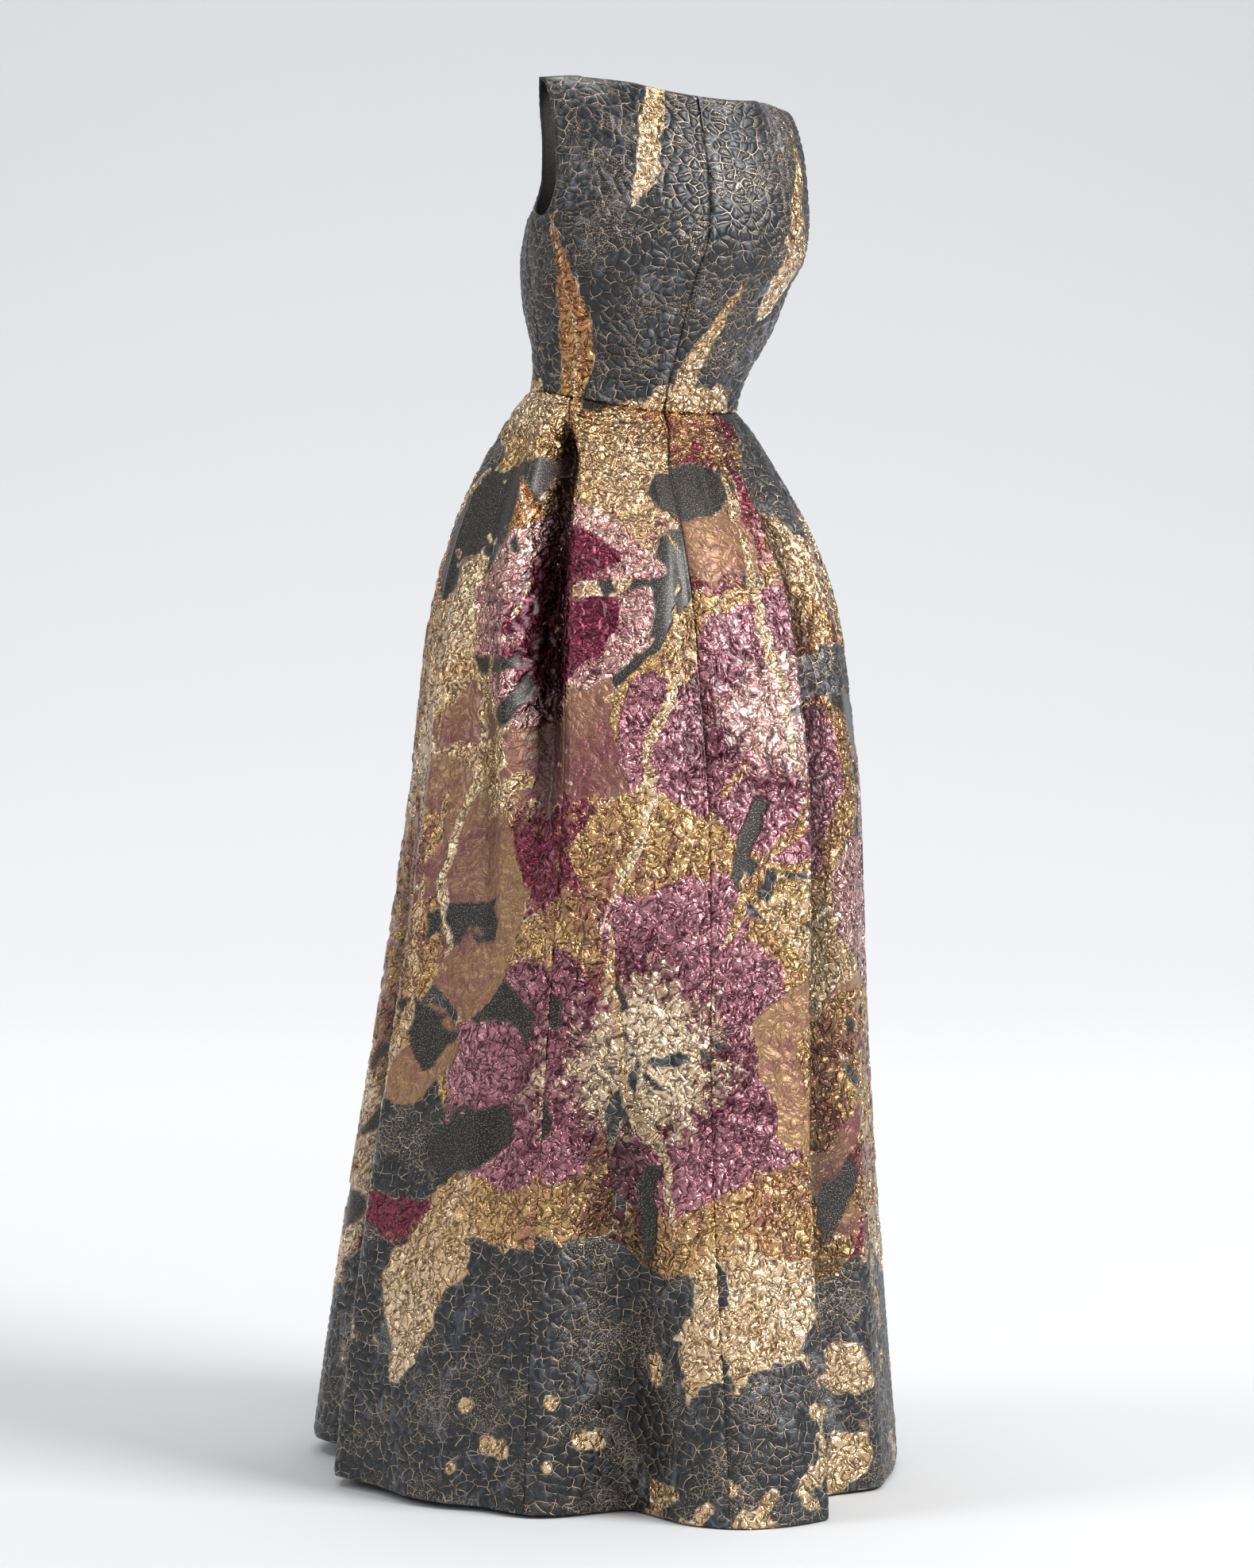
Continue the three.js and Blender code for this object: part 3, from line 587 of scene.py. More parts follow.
def layered_noise(x: Array, y: Array, size: float, seed: int, layers: int = 3) -> Array:
    """Give noise of several sizes, from -1 to 1.

    Args:
        x: First coordinate, in millimetres.
        y: Second coordinate, in millimetres.
        size: Size of the largest features, in millimetres.
        seed: Which noise.
        layers: How many sizes, each half the last.

    Returns:
        The noise at each place.
    """
    total, weight = np.zeros_like(x), 0.0
    for layer in range(layers):
        scale, share = 2.0**layer / size, 0.5**layer
        total += share * (2 * value_noise(x * scale + 17.3 * layer, y * scale, seed + layer) - 1)
        weight += share
    return total / weight


def colour(code: str) -> Array:
    """Return the linear colour of a six-figure screen code."""
    part = np.array([int(code[i : i + 2], 16) / 255 for i in (0, 2, 4)])
    return np.where(part <= 0.04045, part / 12.92, ((part + 0.055) / 1.055) ** 2.4)


class Yarn(Enum):
    """The yarns that float on the face, by their colour, and the dark colours of painted shade."""

    PALE_GOLD = "f2d6b4"
    GOLD = "cfa874"
    COPPER = "b67b50"
    # Painted shade in the gold, warm and copper foils' creases.
    BROWN = "49331c"
    TAN = "a5825a"
    PALE_ROSE = "e2b6ac"
    ROSE = "c38a90"
    DULL_ROSE = "80474c"
    WINE = "873d50"
    BURGUNDY = "581d30"
    # Painted shade in the rose and wine foils' creases and in the pleats' hollows.
    SHADE_PLUM = "2b0c15"
    CHARCOAL = "222427"
    SLATE = "1f1e1d"
    BLACK = "0f0f10"


class Weave(Enum):
    """How the cloth is woven at a place, as shares of foil, blister and satin."""

    FOIL = (1.0, 0.0, 0.0)
    BLISTER = (0.0, 1.0, 0.0)
    SATIN = (0.0, 0.0, 1.0)
    FLAT_GOLD = (0.42, 0.0, 0.0)


# Tip yarn, foot yarn, and the colour of painted shade in the foil's creases.
Trio = tuple[Yarn, Yarn, Yarn]


class Canvas:
    """The woven design over one panel: its colour and the painted shade colour of its creases, a weave and
    the distance to an outline.
    """

    def __init__(self, x: Array, y: Array, trough: Array) -> None:
        """Start with plain blistered charcoal.

        Args:
            x: Millimetres round, in the panel's design.
            y: Millimetres down.
            trough: Millimetres that the pleats' hollows go in.
        """
        self.x, self.y, self.trough = x.ravel(), y.ravel(), trough.ravel()
        self.tint = np.tile(colour(Yarn.CHARCOAL.value), (self.x.size, 1))
        self.crease_shade = np.tile(colour(Yarn.BLACK.value), (self.x.size, 1))
        self.make = np.tile(np.array(Weave.BLISTER.value), (self.x.size, 1))
        self.edge = np.full(self.x.size, FAR_FROM_OUTLINE)
        self.wander = (self.noise(150, 71, 2) * WANDER, self.noise(150, 75, 2) * WANDER)
        self.curl = (self.noise(44, 81, 2) * CURL, self.noise(44, 85, 2) * CURL)
        self.rag = self.noise(17, 91, 3) * RAG
        self.fleck = self.noise(7.5, 97, 2)

    def noise(self, size: float, seed: int, layers: int = 3) -> Array:
        """Return noise of a size over the canvas, from -1 to 1."""
        return layered_noise(self.x, self.y, size, seed, layers)

    def around(self, x: float, y: float, wild: float) -> tuple[Array, Array]:
        """Return wandering coordinates from a centre, more uneven where wild is larger."""
        wx, wy = self.wander[0] + self.curl[0], self.wander[1] + self.curl[1]
        return self.x - x + wild * wx, self.y - y + wild * wy

    def lay(
        self,
        inside: Array,
        yarns: Trio,
        weave: Weave,
        grade: Array | float = 0.7,
        outline: bool = True,
    ) -> None:
        """Weave a motif over what is there.

        Args:
            inside: Millimetres inside the motif, negative outside it.
            yarns: The yarns of its tip and of its foot, and the painted shade colour of its creases.
            weave: How it is woven.
            grade: The share of the tip's yarn, which may vary.
            outline: Whether a cord of gold runs round it.
        """
        inside = inside + self.rag
        share = np.clip(inside / 1.4 + 0.5, 0.0, 1.0)
        wide = share[:, None]
        # The third colour is painted shade for the foil's creases.
        tip, foot, crease = (colour(yarn.value) for yarn in yarns)
        mixed = np.clip(grade + 0.34 * self.fleck, 0.0, 1.0)[:, None]
        self.tint = mix(self.tint, mix(foot, tip, mixed), wide)
        self.crease_shade = mix(self.crease_shade, crease, wide)
        self.make = mix(self.make, np.array(weave.value), wide)
        away = np.abs(inside)
        if outline:
            self.edge = np.where(inside > 0, away, np.minimum(self.edge, away))
        else:
            plain = np.maximum(self.edge, np.minimum(away, FAR_FROM_OUTLINE))
            self.edge = np.where(inside > 0, plain, self.edge)

    def shade(self) -> None:
        """Paint shade into the hollows, most in the pleats below the waist: the cloth and its crease colour
        darken with the hollows' depth.
        """
        top = 1.0 - smooth(*PLEATS_FADE, self.y + 60 * self.wander[1] / WANDER)
        share = smooth(2.0, 20.0, self.trough) * mix(0.6, 0.88, top)
        dark = mix(colour(Yarn.BLACK.value), colour(Yarn.SHADE_PLUM.value), top[:, None])
        self.tint = mix(self.tint, dark, share[:, None])
        self.crease_shade = mix(self.crease_shade, 0.5 * dark, share[:, None])

    def roll(self, from_seam: Array, strength: Array) -> None:
        """Paint shade onto the cloth where it turns into a seam, darker nearer the edge, by millimetres
        from its edge.
        """
        share = (strength * (1 - smooth(0.3, 2.4, from_seam))).ravel()
        dark = colour(Yarn.BLACK.value)
        self.tint = mix(self.tint, dark, share[:, None])
        self.crease_shade = mix(self.crease_shade, 0.5 * dark, share[:, None])

    def tinge(self, share: Array, yarn: Yarn) -> None:
        """Blend a yarn into what is foil, by shares that its flecks break up."""
        part = smooth(0.25, 0.75, share + 0.3 * self.fleck) * (self.make[:, 0] > 0.5)
        self.tint = mix(self.tint, colour(yarn.value), part[:, None])


@dataclass(frozen=True)
class Petal:
    """A petal or leaf with a rounded or pointed tip, in millimetres and degrees."""

    x: float
    y: float
    length: float
    width: float
    turn: float
    bend: float
    yarns: Trio
    kind: Weave
    full: float = 0.6
    rib: bool = False

    def weave(self, canvas: Canvas) -> None:
        """Lay the petal on the canvas, with its streaks and its shaded foot."""
        c, s = math.cos(math.radians(self.turn)), math.sin(math.radians(self.turn))
        dx, dy = canvas.around(self.x, self.y, 0.8)
        along = (dx * c + dy * s) / self.length
        near = (along > -0.3) & (along < 1.3)
        if not near.any():
            return
        off = -dx * s + dy * c - self.bend * along * along
        t = np.clip(along, 0.0, 1.0)
        half = self.width * np.sin(math.pi * t ** (1.0 / self.full) * 0.97 + 0.02) ** 0.75
        ends = self.length * np.minimum(along, 1 - along)
        inside = np.minimum(half - np.abs(off), ends + 4)
        streaks = layered_noise(along * 11, off + 200 * self.x, 9, 33, 2)
        canvas.lay(inside, self.yarns, self.kind, 1.15 * t - 0.12 + 0.42 * streaks)
        if self.rib:
            middle = np.where(inside > 3, 1.4 - np.abs(off), -30.0) - canvas.rag
            canvas.lay(middle, GOLD_FOIL, Weave.FOIL, 0.9, False)


@dataclass(frozen=True)
class Bloom:
    """A large open flower of loose, overlapping petals round a heart, in millimetres."""

    x: float
    y: float
    radius: float
    petals: int
    turn: float
    rings: tuple[tuple[float, float, Trio, Weave], ...]
    heart: Yarn
    seed: int

    def weave(self, canvas: Canvas) -> None:
        """Lay the flower on the canvas, its outer petals first."""
        if np.hypot(canvas.x - self.x, canvas.y - self.y).min() > 1.5 * self.radius:
            return
        chance = np.random.default_rng(self.seed)
        for ring, (size, foot, yarns, kind) in enumerate(self.rings):
            count = max(4, self.petals - ring)
            for k in chance.permutation(count):
                turn = self.turn + (k + 0.5 * ring + chance.uniform(-0.2, 0.2)) * 360 / count
                reach = self.radius * size * chance.uniform(0.78, 1.15)
                c, s = math.cos(math.radians(turn)), math.sin(math.radians(turn))
                start = foot * self.radius
                Petal(
                    self.x + c * start,
                    self.y + s * start,
                    reach - start,
                    reach * chance.uniform(2.2, 3.0) / count,
                    turn,
                    chance.uniform(-0.2, 0.2) * reach,
                    yarns,
                    kind,
                    chance.uniform(0.4, 0.56),
                ).weave(canvas)
        dx, dy = canvas.around(self.x, self.y, 0.8)
        r, turn = np.hypot(dx, dy) / self.radius, np.arctan2(dy, dx)
        canvas.tinge(1.15 - 2.1 * r, self.heart)
        rays = layered_noise(3.4 * np.cos(turn) + self.seed, 3.4 * np.sin(turn) + 0.9 * r, 1.0, 60, 2)
        slits = np.minimum(60 * (rays - 0.42), 110 * np.minimum(r - 0.5, 0.96 - r))
        canvas.lay(slits, DARK_SATIN, Weave.SATIN, 0.5, False)


CRACKLE = (Yarn.CHARCOAL, Yarn.CHARCOAL, Yarn.BLACK)
ROSE_FOIL = (Yarn.PALE_ROSE, Yarn.WINE, Yarn.SHADE_PLUM)
WINE_FOIL = (Yarn.WINE, Yarn.BURGUNDY, Yarn.SHADE_PLUM)
BLUSH_FOIL = (Yarn.ROSE, Yarn.BURGUNDY, Yarn.SHADE_PLUM)
GOLD_FOIL = (Yarn.PALE_GOLD, Yarn.GOLD, Yarn.BROWN)
WARM_FOIL = (Yarn.GOLD, Yarn.WINE, Yarn.BROWN)
COPPER_FOIL = (Yarn.GOLD, Yarn.COPPER, Yarn.BROWN)
FLAT_TAN = (Yarn.TAN, Yarn.DULL_ROSE, Yarn.DULL_ROSE)
DARK_SATIN = (Yarn.SLATE, Yarn.BLACK, Yarn.BLACK)

ROSE_RINGS = (
    (1.0, 0.1, ROSE_FOIL, Weave.FOIL),
    (0.7, 0.04, WINE_FOIL, Weave.FOIL),
)
GOLD_RINGS = (
    (1.0, 0.1, GOLD_FOIL, Weave.FOIL),
    (0.7, 0.04, WARM_FOIL, Weave.FOIL),
)
TAN_RINGS = (
    (1.0, 0.1, FLAT_TAN, Weave.FLAT_GOLD),
    (0.72, 0.04, WARM_FOIL, Weave.FOIL),
)
WINE_RINGS = (
    (1.0, 0.1, WARM_FOIL, Weave.FOIL),
    (0.8, 0.04, BLUSH_FOIL, Weave.FOIL),
)


class Design(Enum):
    """The two parts of the cloth's large design."""

    BODICE = "bodice"
    SKIRT = "skirt"


def weave_skirt(canvas: Canvas) -> None:
    """Lay the skirt's grounds, flowers and hem band.

    Args:
        canvas: The panel's canvas, in millimetres round from the centre back and down.
    """
    flecks = canvas.noise(26, 4)
    band = HEM_BAND - canvas.y + 70 * canvas.noise(170, 5) + 14 * flecks
    mottle = 0.45 + 0.8 * canvas.noise(90, 3)
    canvas.lay(band, GOLD_FOIL, Weave.FOIL, mottle)
    for size, seed, cut, yarns, kind in SKIRT_GROUNDS:
        patch = 95 * canvas.noise(size, seed) - cut + 12 * flecks
        canvas.lay(np.minimum(patch, band - 45), yarns, kind, mottle)
    canvas.tinge(1.5 * canvas.noise(190, 13, 2) - 0.05, Yarn.WINE)
    for piece in (*SKIRT_LEAVES, *SKIRT_BLOOMS, *SKIRT_TENDRILS):
        piece.weave(canvas)
    # Painted shade in the pleats' hollows.
    canvas.shade()
    splash = 60 * canvas.noise(92, 21) - 24 + 16 * flecks
    splash = np.minimum(splash, 0.8 * (canvas.y - HEM_BAND + 30))
    canvas.lay(splash, GOLD_FOIL, Weave.FOIL, mottle)


def weave_bodice(canvas: Canvas) -> None:
    """Lay the upper body's few gold and copper leaves on its blistered ground.

    Args:
        canvas: The panel's canvas, in millimetres round from the centre and down from the neck.
    """
    for leaf in BODICE_LEAVES:
        leaf.weave(canvas)
    flecks = canvas.noise(22, 41)
    waist = canvas.y - 356 + 46 * canvas.noise(70, 42) + 12 * flecks
    canvas.lay(waist, GOLD_FOIL, Weave.FOIL, 0.6 + 0.5 * flecks)


HEM_BAND = 1010.0
# Grounds that show between the flowers: size, noise, how much is cut away, yarns and weave.
SKIRT_GROUNDS = (
    (230, 6, 8, CRACKLE, Weave.BLISTER),
    (210, 7, 32, FLAT_TAN, Weave.FLAT_GOLD),
    (130, 8, 38, DARK_SATIN, Weave.SATIN),
)
SKIRT_BLOOMS = (
    Bloom(-60, 420, 205, 6, 50, WINE_RINGS, Yarn.PALE_ROSE, 12),
    Bloom(215, 300, 150, 5, 20, ROSE_RINGS, Yarn.WINE, 11),
    Bloom(90, 790, 250, 7, 5, WINE_RINGS, Yarn.PALE_GOLD, 13),
    Bloom(-205, 820, 170, 5, 35, TAN_RINGS, Yarn.GOLD, 14),
    Bloom(440, 640, 190, 6, 60, TAN_RINGS, Yarn.GOLD, 15),
    Bloom(660, 380, 210, 6, 10, WINE_RINGS, Yarn.PALE_GOLD, 17),
    Bloom(830, 740, 240, 7, 30, ROSE_RINGS, Yarn.PALE_GOLD, 18),
    Bloom(560, 900, 150, 6, 15, GOLD_RINGS, Yarn.PALE_GOLD, 19),
    Bloom(1020, 400, 180, 6, 0, GOLD_RINGS, Yarn.WINE, 20),
    Bloom(-410, 560, 210, 6, 25, ROSE_RINGS, Yarn.GOLD, 22),
)
SKIRT_TENDRILS = tuple(
    Petal(*tendril, Weave.FOIL, 0.5)
    for tendril in (
        (-60, 40, 430, 6, 78, 110, GOLD_FOIL),
        (60, 180, 460, 6, 96, -130, GOLD_FOIL),
        (290, 250, 420, 7, 70, 120, GOLD_FOIL),
        (-160, 300, 400, 6, 80, -100, WARM_FOIL),
        (130, 540, 440, 7, 84, 140, GOLD_FOIL),
        (380, 420, 420, 6, 102, -110, GOLD_FOIL),
        (-320, 420, 430, 6, 74, 110, GOLD_FOIL),
        (700, 300, 460, 7, 84, 130, GOLD_FOIL),
        (940, 320, 440, 6, 98, -120, GOLD_FOIL),
    )
)
SKIRT_LEAVES = (
    Petal(20, 130, 300, 44, 62, 60, DARK_SATIN, Weave.SATIN, 0.7),
    Petal(330, 120, 260, 50, 118, -40, COPPER_FOIL, Weave.FOIL, 0.7, True),
    Petal(-190, 470, 330, 56, 74, 50, GOLD_FOIL, Weave.FOIL, 0.7, True),
    Petal(20, 560, 280, 48, 108, -50, CRACKLE, Weave.BLISTER, 0.7),
    Petal(230, 860, 300, 52, 66, 40, GOLD_FOIL, Weave.FOIL, 0.7, True),
    Petal(20, 880, 250, 56, 112, -30, GOLD_FOIL, Weave.FOIL, 0.7),
    Petal(480, 850, 240, 54, 84, 20, GOLD_FOIL, Weave.FOIL, 0.7, True),
    Petal(-70, 60, 330, 46, 96, 40, WARM_FOIL, Weave.FOIL, 0.7, True),
    Petal(700, 150, 260, 58, 80, 20, COPPER_FOIL, Weave.FOIL, 0.7, True),
    Petal(900, 200, 260, 58, 104, -20, GOLD_FOIL, Weave.FOIL, 0.7, True),
)
BODICE_LEAVES = (
    Petal(-170, 60, 230, 25, 64, 40, GOLD_FOIL, Weave.FOIL, 0.6, True),
    Petal(190, 150, 250, 24, 118, -46, COPPER_FOIL, Weave.FOIL, 0.6, True),
    Petal(26, -40, 190, 17, 58, 34, GOLD_FOIL, Weave.FOIL, 0.5),
    Petal(-60, 210, 190, 15, 62, 40, GOLD_FOIL, Weave.FOIL, 0.5),
    Petal(900, 60, 230, 30, 60, 30, GOLD_FOIL, Weave.FOIL, 0.6, True),
    Petal(1110, 220, 200, 28, 120, -28, COPPER_FOIL, Weave.FOIL, 0.6, True),
)


@dataclass
class Panel:
    """One cut piece of the cloth, with the fineness of its mesh."""

    name: str
    columns: int
    rows: int
    design: Design
    thin: int = 4

    def grid(self) -> tuple[Array, Array]:
        """Return the shares across and along of the mesh's corners."""
        u = np.linspace(0.0, 1.0, self.columns + 1)
        v = np.linspace(0.0, 1.0, self.rows + 1)
        return np.meshgrid(u, v, indexing="ij")

    def form(self) -> Array:
        """Return the points of the outer face, in millimetres."""
        raise NotImplementedError

    def pattern(self, points: Array) -> tuple[Array, Array]:
        """Return the design's millimetres round and down at each point."""
        raise NotImplementedError

    def trough(self) -> Array:
        """Return how far the pleats' hollows go in at each point, in millimetres."""
        return np.zeros_like(self.grid()[0])

    def flatten(self, points: Array) -> Array:
        """Lay the panel flat row by row.

        Args:
            points: The points of its outer face.

        Returns:
            Millimetres across from the middle and down, and zero.
        """
        steps = np.linalg.norm(np.diff(points, axis=0), axis=-1)
        across = np.concatenate([np.zeros((1, points.shape[1])), np.cumsum(steps, axis=0)])
        across -= across[-1] / 2
        falls = np.linalg.norm(np.diff(points, axis=1), axis=-1).mean(axis=0)
        down = np.concatenate([[0.0], np.cumsum(falls)])
        return np.stack([across, np.broadcast_to(down, across.shape), np.zeros_like(across)], -1)

    def outward(self, points: Array) -> Array:
        """Return the outward normal at each point of the grid."""
        du, dv = np.gradient(points, axis=0), np.gradient(points, axis=1)
        normal = np.cross(du, dv)
        normal /= np.linalg.norm(normal, axis=-1, keepdims=True) + 1e-12
        middle = points.mean(axis=(0, 1))
        spine = np.array([20.0, 45.0, middle[2]])
        if np.sum(normal * (points - spine)) < 0:
            normal = -normal
        return normal

    def build(self, number: int, cloth: "Cloth") -> bpy.types.Object:
        """Make the panel's mesh, raise its relief and dress it.

        Args:
            number: The panel's place in the list, which shifts its weave.
            cloth: The finish of its two faces.

        Returns:
            The finished piece.
        """
        points = self.form()
        normal = self.outward(points)
        flat = self.flatten(points)
        x, y = self.pattern(points)
        canvas = Canvas(x, y, self.trough())
        (weave_skirt if self.design is Design.SKIRT else weave_bodice)(canvas)
        shares = self.grid()
        edge_u = np.minimum(shares[0], 1 - shares[0]) * np.ptp(flat[..., 0], axis=0)[None, :]
        to_waist, to_free = shares[1], 1 - shares[1]
        if self.design is Design.BODICE:
            to_waist, to_free = to_free, to_waist
        to_waist, to_free = (share * np.ptp(flat[..., 1]) for share in (to_waist, to_free))
        lower = smooth(60.0, 380.0, to_waist) * (self.design is Design.SKIRT)
        # Painted shade along the seams, stronger on the upper body and near the waist than lower on the
        # skirt.
        canvas.roll(edge_u, mix(0.8, 0.12, lower))
        border = np.minimum(edge_u, np.minimum(to_free, to_waist + 5.0))
        relief = smooth(0.0, 7.0, border) * 0.85 + 0.15 * smooth(0.0, 2.0, border)
        turned = mix(1.3, 0.6, lower) * (1 - smooth(0.0, 3.2, border))
        turned += 0.25 * (1 - smooth(0.0, 2.6, to_waist))
        flat[..., 0] += WEAVE_STEP * number
        outer = points.shape[0] * points.shape[1]
        wall = closed_wall(points - normal * turned[..., None], normal, WALL - 0.2, self.thin)
        piece = plain_piece(self.name + "_cloth", [wall])
        slots = np.zeros(len(wall[1]), dtype=np.int32)
        fine = self.columns * self.rows
        slots[fine : fine + fine // self.thin**2] = 1
        piece.data.polygons.foreach_set("material_index", slots)
        write_attribute(piece, "cloth", "FLOAT_VECTOR", flat.reshape(-1, 3) * MM, outer)
        write_attribute(piece, "tint", "FLOAT_COLOR", canvas.tint, outer)
        write_attribute(piece, "crease_shade", "FLOAT_COLOR", canvas.crease_shade, outer)
        write_attribute(piece, "make", "FLOAT_COLOR", canvas.make, outer)
        write_attribute(piece, "edge", "FLOAT", canvas.edge, outer)
        write_attribute(piece, "relief", "FLOAT", relief.ravel(), outer)
        cloth.dress(piece)
        return piece


def closed_wall(points: Array, normal: Array, thickness: float, thin: int = 1) -> Shell:
    """Close a wall of a fine outer face, a coarser inner one and four rims.

    Args:
        points: The outer face, in millimetres.
        normal: Its outward normals.
        thickness: The wall's thickness, in millimetres.
        thin: How many outer cells make one inner cell.

    Returns:
        Its points and faces: those of the outer face, the inner face and then the rims.
    """
    n, m = points.shape[:2]
    outer = np.arange(n * m).reshape(n, m)
    inner_points = (points - normal * thickness)[::thin, ::thin]
    inner = np.arange(inner_points[..., 0].size).reshape(inner_points.shape[:2]) + n * m
    verts = np.concatenate([points.reshape(-1, 3), inner_points.reshape(-1, 3)])
    a, b = points[1, m // 2] - points[0, m // 2], points[0, m // 2 + 1] - points[0, m // 2]
    turned = float(np.dot(np.cross(a, b), normal[0, m // 2])) > 0
    faces = []
    for index, flip in ((outer, not turned), (inner, turned)):
        corners = [index[:-1, :-1], index[1:, :-1], index[1:, 1:], index[:-1, 1:]]
        faces += np.stack(corners[::-1] if flip else corners, -1).reshape(-1, 4).tolist()
    sides = (
        (outer[:, 0], inner[:, 0], False),
        (outer[:, -1], inner[:, -1], True),
        (outer[0, :], inner[0, :], True),
        (outer[-1, :], inner[-1, :], False),
    )
    for edge, low, flip in sides:
        for k in range(len(low) - 1):
            ring = [*edge[k * thin : (k + 1) * thin + 1].tolist(), int(low[k + 1]), int(low[k])]
            faces.append(ring if flip == turned else ring[::-1])
    return verts, faces


def plain_piece(name: str, shells: Sequence[Shell]) -> bpy.types.Object:
    """Return a smooth piece of closed shells, whose points are in millimetres."""
    points, faces = np.zeros((0, 3)), []
    for more, rings in shells:
        faces += [[corner + len(points) for corner in ring] for ring in rings]
        points = np.concatenate([points, more])
    data = bpy.data.meshes.new(name)
    data.from_pydata(((points + TO_SHOULDERS) * MM).tolist(), [], faces)
    data.polygons.foreach_set("use_smooth", np.ones(len(faces), dtype=bool))
    data.validate()
    piece = bpy.data.objects.new(name, data)
    bpy.context.scene.collection.objects.link(piece)
    return piece


def write_attribute(
    piece: bpy.types.Object, name: str, kind: str, outer: Array, count: int
) -> None:
    """Store a value on the outer points, and zeros on the rest.

    Args:
        piece: The piece.
        name: The attribute's name.
        kind: Its Blender type.
        outer: The values of the outer points.
        count: How many outer points there are.
    """
    data = piece.data
    made = data.attributes.new(name, kind, "POINT")
    width = {"FLOAT": 1, "FLOAT_VECTOR": 3, "FLOAT_COLOR": 4}[kind]
    values = np.zeros((len(data.vertices), width), dtype=np.float32)
    if kind == "FLOAT_COLOR":
        values[:, 3] = 1.0
    values[:count, : outer.shape[1] if outer.ndim > 1 else 1] = outer.reshape(count, -1)
    key = {"FLOAT": "value", "FLOAT_VECTOR": "vector", "FLOAT_COLOR": "color"}[kind]
    made.data.foreach_set(key, values.ravel())


@dataclass
class SkirtPanel(Panel):
    """A panel of the skirt between two of its seams."""

    start: Line = CENTRE_BACK
    end: Line = LEFT_BACK_SEAM

    def angles(self) -> tuple[Array, Array]:
        """Return the angle and the share of the length at each corner of the mesh."""
        u, v = self.grid()
        return mix(self.start.at(v), self.end.at(v), u), v

    def form(self) -> Array:
        """Return the points of the outer face, in millimetres."""
        return skirt_point(*self.angles())

    def trough(self) -> Array:
        """Return how far the pleats' hollows go in at each point, in millimetres."""
        return -sum(np.minimum(fold.at(*self.angles()), 0.0) for fold in FOLDS)

    def pattern(self, points: Array) -> tuple[Array, Array]:
        """Return the design's millimetres round and down at each point."""
        flat = self.flatten(points)
        middle = (self.start.hip + self.end.hip) / 2
        middle -= 360 if self.start.hip > 250 else 0
        return middle * 4.5 + flat[..., 0], flat[..., 1]


@dataclass
class BodicePanel(Panel):
    """A piece of the upper body: one half of the back, or the whole front."""

    face: Face = Face.BACK
    side: int = 1

    def halves(self) -> list[tuple[HalfPanel, Array, Array, Array]]:
        """Return each half with its shares across and up, and where they hold."""
        u, v = self.grid()
        v = 1.0 - v
        if self.face is Face.BACK:
            return [(HalfPanel(self.face, self.side), u, v, np.ones(u.shape, bool))]
        across = np.abs(2 * u - 1)
        return [
            (HalfPanel(self.face, -1), across, v, u < 0.5),
            (HalfPanel(self.face, 1), across, v, u >= 0.5),
        ]

    def form(self) -> Array:
        """Return the points of the outer face, in millimetres."""
        points = np.zeros(self.grid()[0].shape + (3,))
        for half, across, up, holds in self.halves():
            points = np.where(holds[..., None], half.point(across, up), points)
        return points

    def outward(self, points: Array) -> Array:
        """Return the outward normals, level with the other face's along the shoulder."""
        normal = super().outward(points)
        _, across, up, _ = self.halves()[0]
        on_shoulder = (up >= 1.0) & (across >= NECK_SHARE)
        level = normal * np.array([1.0, 0.0, 1.0])
        level /= np.linalg.norm(level, axis=-1, keepdims=True) + 1e-9
        return np.where(on_shoulder[..., None], level, normal)

    def pattern(self, points: Array) -> tuple[Array, Array]:
        """Return the design's millimetres round and down at each point."""
        x = np.zeros(points.shape[:2])
        for half, across, _, holds in self.halves():
            x = np.where(holds, half.side * across * 200.0, x)
        if self.face is Face.FRONT:
            x = x + 1000.0
        return x, -points[..., 2]


SKIRT_PANELS = (
    SkirtPanel("skirt_back_left", 104, 500, Design.SKIRT, 4, CENTRE_BACK, LEFT_BACK_SEAM),
    SkirtPanel("skirt_side_left", 144, 460, Design.SKIRT, 4, LEFT_BACK_SEAM, LEFT_SIDE_SEAM),
    SkirtPanel("skirt_front", 240, 340, Design.SKIRT, 4, LEFT_SIDE_SEAM, RIGHT_SIDE_SEAM),
    SkirtPanel("skirt_side_right", 160, 460, Design.SKIRT, 4, RIGHT_SIDE_SEAM, RIGHT_BACK_SEAM),
    SkirtPanel("skirt_back_right", 96, 500, Design.SKIRT, 4, RIGHT_BACK_SEAM, CENTRE_BACK_AGAIN),
)
BODICE_PANELS = (
    BodicePanel("bodice_back_left", 96, 220, Design.BODICE, 4, Face.BACK, 1),
    BodicePanel("bodice_back_right", 96, 220, Design.BODICE, 4, Face.BACK, -1),
    BodicePanel("bodice_front", 160, 160, Design.BODICE, 4, Face.FRONT, 0),
)


